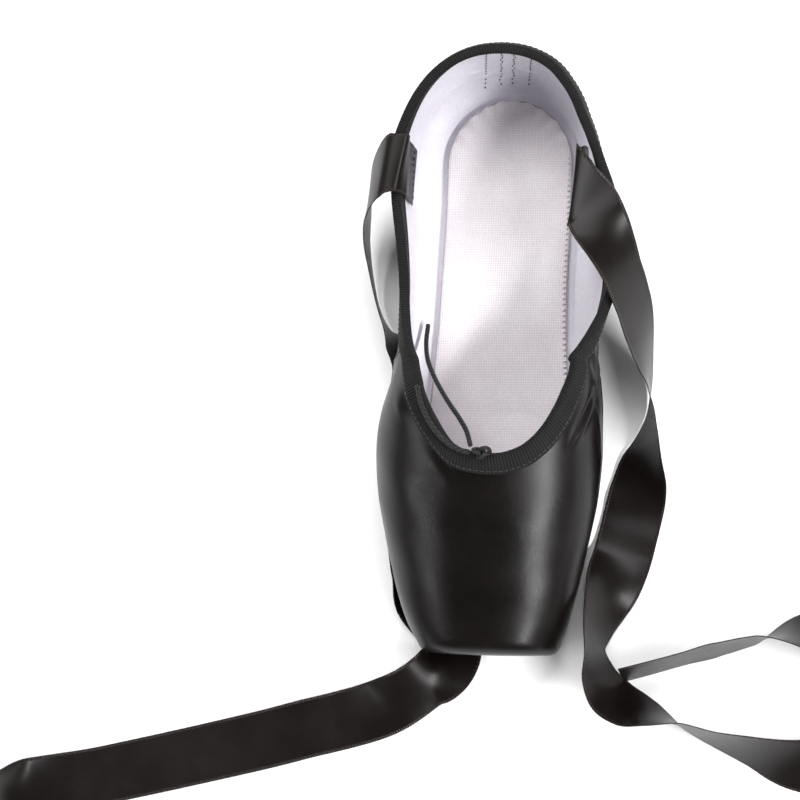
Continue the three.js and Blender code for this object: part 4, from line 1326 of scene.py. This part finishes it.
def side_seam_stitches(last, skin, length):
    """Double rows beside each side seam."""
    places = []
    for side in (-1, 1):
        for offset in (-SEAM_ROW, SEAM_ROW):
            path, normals = [], []
            for j in range(last.FLANGE + 10, skin.shape[1] - 12):
                ring = skin[:, j]
                seam = side_seam_distance(last.outside[:, j]) - offset
                near = np.where((np.sign(ring[:, 0]) == side) & (np.abs(ring[:, 0]) > 20))[0]
                k = near[np.argmin(np.abs(seam[near]))]
                n = k + 1 if abs(seam[(k + 1) % len(seam)]) < abs(seam[k - 1]) else k - 1
                n %= len(seam)
                w = seam[k] / (seam[k] - seam[n]) if abs(seam[k] - seam[n]) > EPS else 0
                w = float(np.clip(w, 0, 1))
                path.append(ring[k] * (1 - w) + ring[n] * w)
                normals.append(last.normals[k, j])
            places += stitch_row(path, normals, length)
    return places


def heel_strip_stitches(last, skin, length):
    """One row down each edge of the heel strip."""
    places = []
    back = np.where(last.lines[:, 0] == 2)[0]
    for x in (-HEEL_STAY_ROW, HEEL_STAY_ROW):
        path, normals = [], []
        for j in range(last.FLANGE + 12, skin.shape[1] - 10):
            k = back[np.argmin(np.abs(skin[back, j, 0] - x))]
            path.append(skin[k, j])
            normals.append(last.normals[k, j])
        places += stitch_row(path, normals, length)
    return places


def binding_stitches(last):
    """The binding's lower edge outside, stitched right round."""
    depth = sizes().binding_outside / MM - 1.1
    strip = np.array([along_path(path, lambda total: [total - depth - 0.5, total - depth])
                      for path in last.path])
    beyond = 2 * strip[:, 1:] - strip[:, :1]
    normal = ring_normals(np.concatenate([strip, beyond], 1))[:, 1]
    path = closed_ring(strip[:, 1] + normal * (GAP + BINDING_CLOTH))
    return stitch_row(path, closed_ring(normal), 2.2)


def heel_lining_stitches(last):
    """Four rows up the heel lining, of which the middle two waver."""
    places = []
    back = np.where(last.lines[:, 0] == 2)[0]
    for row, x in enumerate(HEEL_LINING_ROWS):
        waver = 0.4 if row in (1, 2) else 0
        path, normals = [], []
        for j in range(last.FLANGE + last.LOWER - 13, last.inside.shape[1] - 10):
            inner = last.inside[:, j, 0]
            level = last.outside[back[len(back) // 2], j, 2]
            at = x - 0.15 * (45 - level) + waver * math.sin(j * 0.6 + row)
            k = back[np.argmin(np.abs(inner[back] - at))]
            n = k + (1 if inner[k] > at else -1)
            w = (inner[k] - at) / (inner[k] - inner[n])
            path.append(last.inside[k, j] * (1 - w) + last.inside[n, j] * w)
            normals.append(-last.normals[k, j])
        places += stitch_row(path, normals, 2.6, 0.3)
    return places


def overlock_stitches():
    """Slanting stitches over the right edge of the insole."""
    places = []
    for k in range(54):
        s = 78 + k * 2.2
        x = float(insole_outline(np.array([s]))[0] + drift(s)) - 0.7
        z = float(insole_underside(s)) + INSOLE_THICKNESS + 0.05
        places.append(((x, s - LENGTH / 2, z), (1.0, 0.45, -0.35), (0, 0, 1)))
    return places


# These points carry a grey cord that paints the shadow in the gap round the insole's edge.
def insole_rim():
    """Points round the insole's edge, from one side of the toe round the heel to the other."""
    turn = np.linspace(0, math.pi / 2, 120)
    s = INSOLE_START + 4.5 + (INSOLE_END - INSOLE_START - 5.2) * np.sin(turn)
    half = insole_outline(s) - 0.3
    z = insole_underside(s) + INSOLE_THICKNESS - 0.35
    left = np.stack([drift(s) - half, s - LENGTH / 2, z], 1)
    right = np.stack([drift(s) + half, s - LENGTH / 2, z], 1)
    return np.concatenate([left, right[::-1]])


def tacking_stitches():
    """A short row that holds the left ribbon to the lining."""
    return [((-33.75, 173 + 18 * k / 7 - LENGTH / 2, 27), (0, 1, 0), (1, 0, 0)) for k in range(8)]


class POINTE_OT_sew_stitches(bpy.types.Operator):
    """Sew the seams of the satin, lining, binding, insole and ribbons"""
    bl_idname = "pointe.sew_stitches"
    bl_label = "Sew stitches"

    def execute(self, context):
        last = the_last()
        skin = satin_skin(last)
        length = sizes().stitch_length / MM
        dark = thread_material("dark_thread", colours().thread)
        grey = thread_material("lining_thread", (0.12, 0.11, 0.13))
        pale = thread_material("pale_thread", (0.46, 0.42, 0.42))
        # edge is painted shadow: a grey colour for the shadowed gap between the insole and the
        # lining, not a real thread.
        edge = thread_material("painted_gap_shadow", (0.3, 0.28, 0.31))
        seams = side_seam_stitches(last, skin, length) + heel_strip_stitches(last, skin, length)
        lay_stitches("satin_stitches", seams, length * 0.8, 0.22, dark)
        lay_stitches("binding_stitches", binding_stitches(last), 1.7, 0.2, dark)
        lay_stitches("lining_stitches", heel_lining_stitches(last), 1.1, 0.3, grey)
        lay_stitches("insole_overlock", overlock_stitches(), 2.4, 0.22, pale)
        # A grey cord round the insole paints the shadow in the gap between the insole and the lining.
        cord_piece("insole_gap_painted_shadow", insole_rim(), 0.55, edge)
        lay_stitches("ribbon_tacking", tacking_stitches(), 1.8, 0.25, dark)
        return {"FINISHED"}


class POINTE_PT_maker(bpy.types.Panel):
    """Sidebar list of the pieces"""
    bl_label = "Pointe shoe"
    bl_idname = "POINTE_PT_maker"
    bl_space_type = "VIEW_3D"
    bl_region_type = "UI"
    bl_category = "Pointe shoe"

    def draw(self, context):
        for group in (context.scene.pointe_sizes, context.scene.pointe_colours):
            box = self.layout.box()
            for key in group.__annotations__:
                box.prop(group, key)
        for step in STEPS:
            self.layout.operator(step.bl_idname)


STEPS = (POINTE_OT_set_stage, POINTE_OT_lay_ribbons, POINTE_OT_lay_drawstring, POINTE_OT_make_upper,
         POINTE_OT_bind_collar, POINTE_OT_make_insole, POINTE_OT_make_outsole, POINTE_OT_sew_stitches)
CLASSES = (ShoeSizes, ShoeColours, *STEPS, POINTE_PT_maker)


def register():
    for cls in CLASSES:
        bpy.utils.register_class(cls)
    bpy.types.Scene.pointe_sizes = bpy.props.PointerProperty(type=ShoeSizes)
    bpy.types.Scene.pointe_colours = bpy.props.PointerProperty(type=ShoeColours)


def unregister():
    del bpy.types.Scene.pointe_colours
    del bpy.types.Scene.pointe_sizes
    for cls in reversed(CLASSES):
        bpy.utils.unregister_class(cls)


def main():
    register()
    bpy.ops.pointe.set_stage()
    bpy.ops.pointe.lay_ribbons()
    bpy.ops.pointe.lay_drawstring()
    bpy.ops.pointe.make_upper()
    bpy.ops.pointe.bind_collar()
    bpy.ops.pointe.make_insole()
    bpy.ops.pointe.make_outsole()
    bpy.ops.pointe.sew_stitches()


if __name__ == "__main__":
    main()
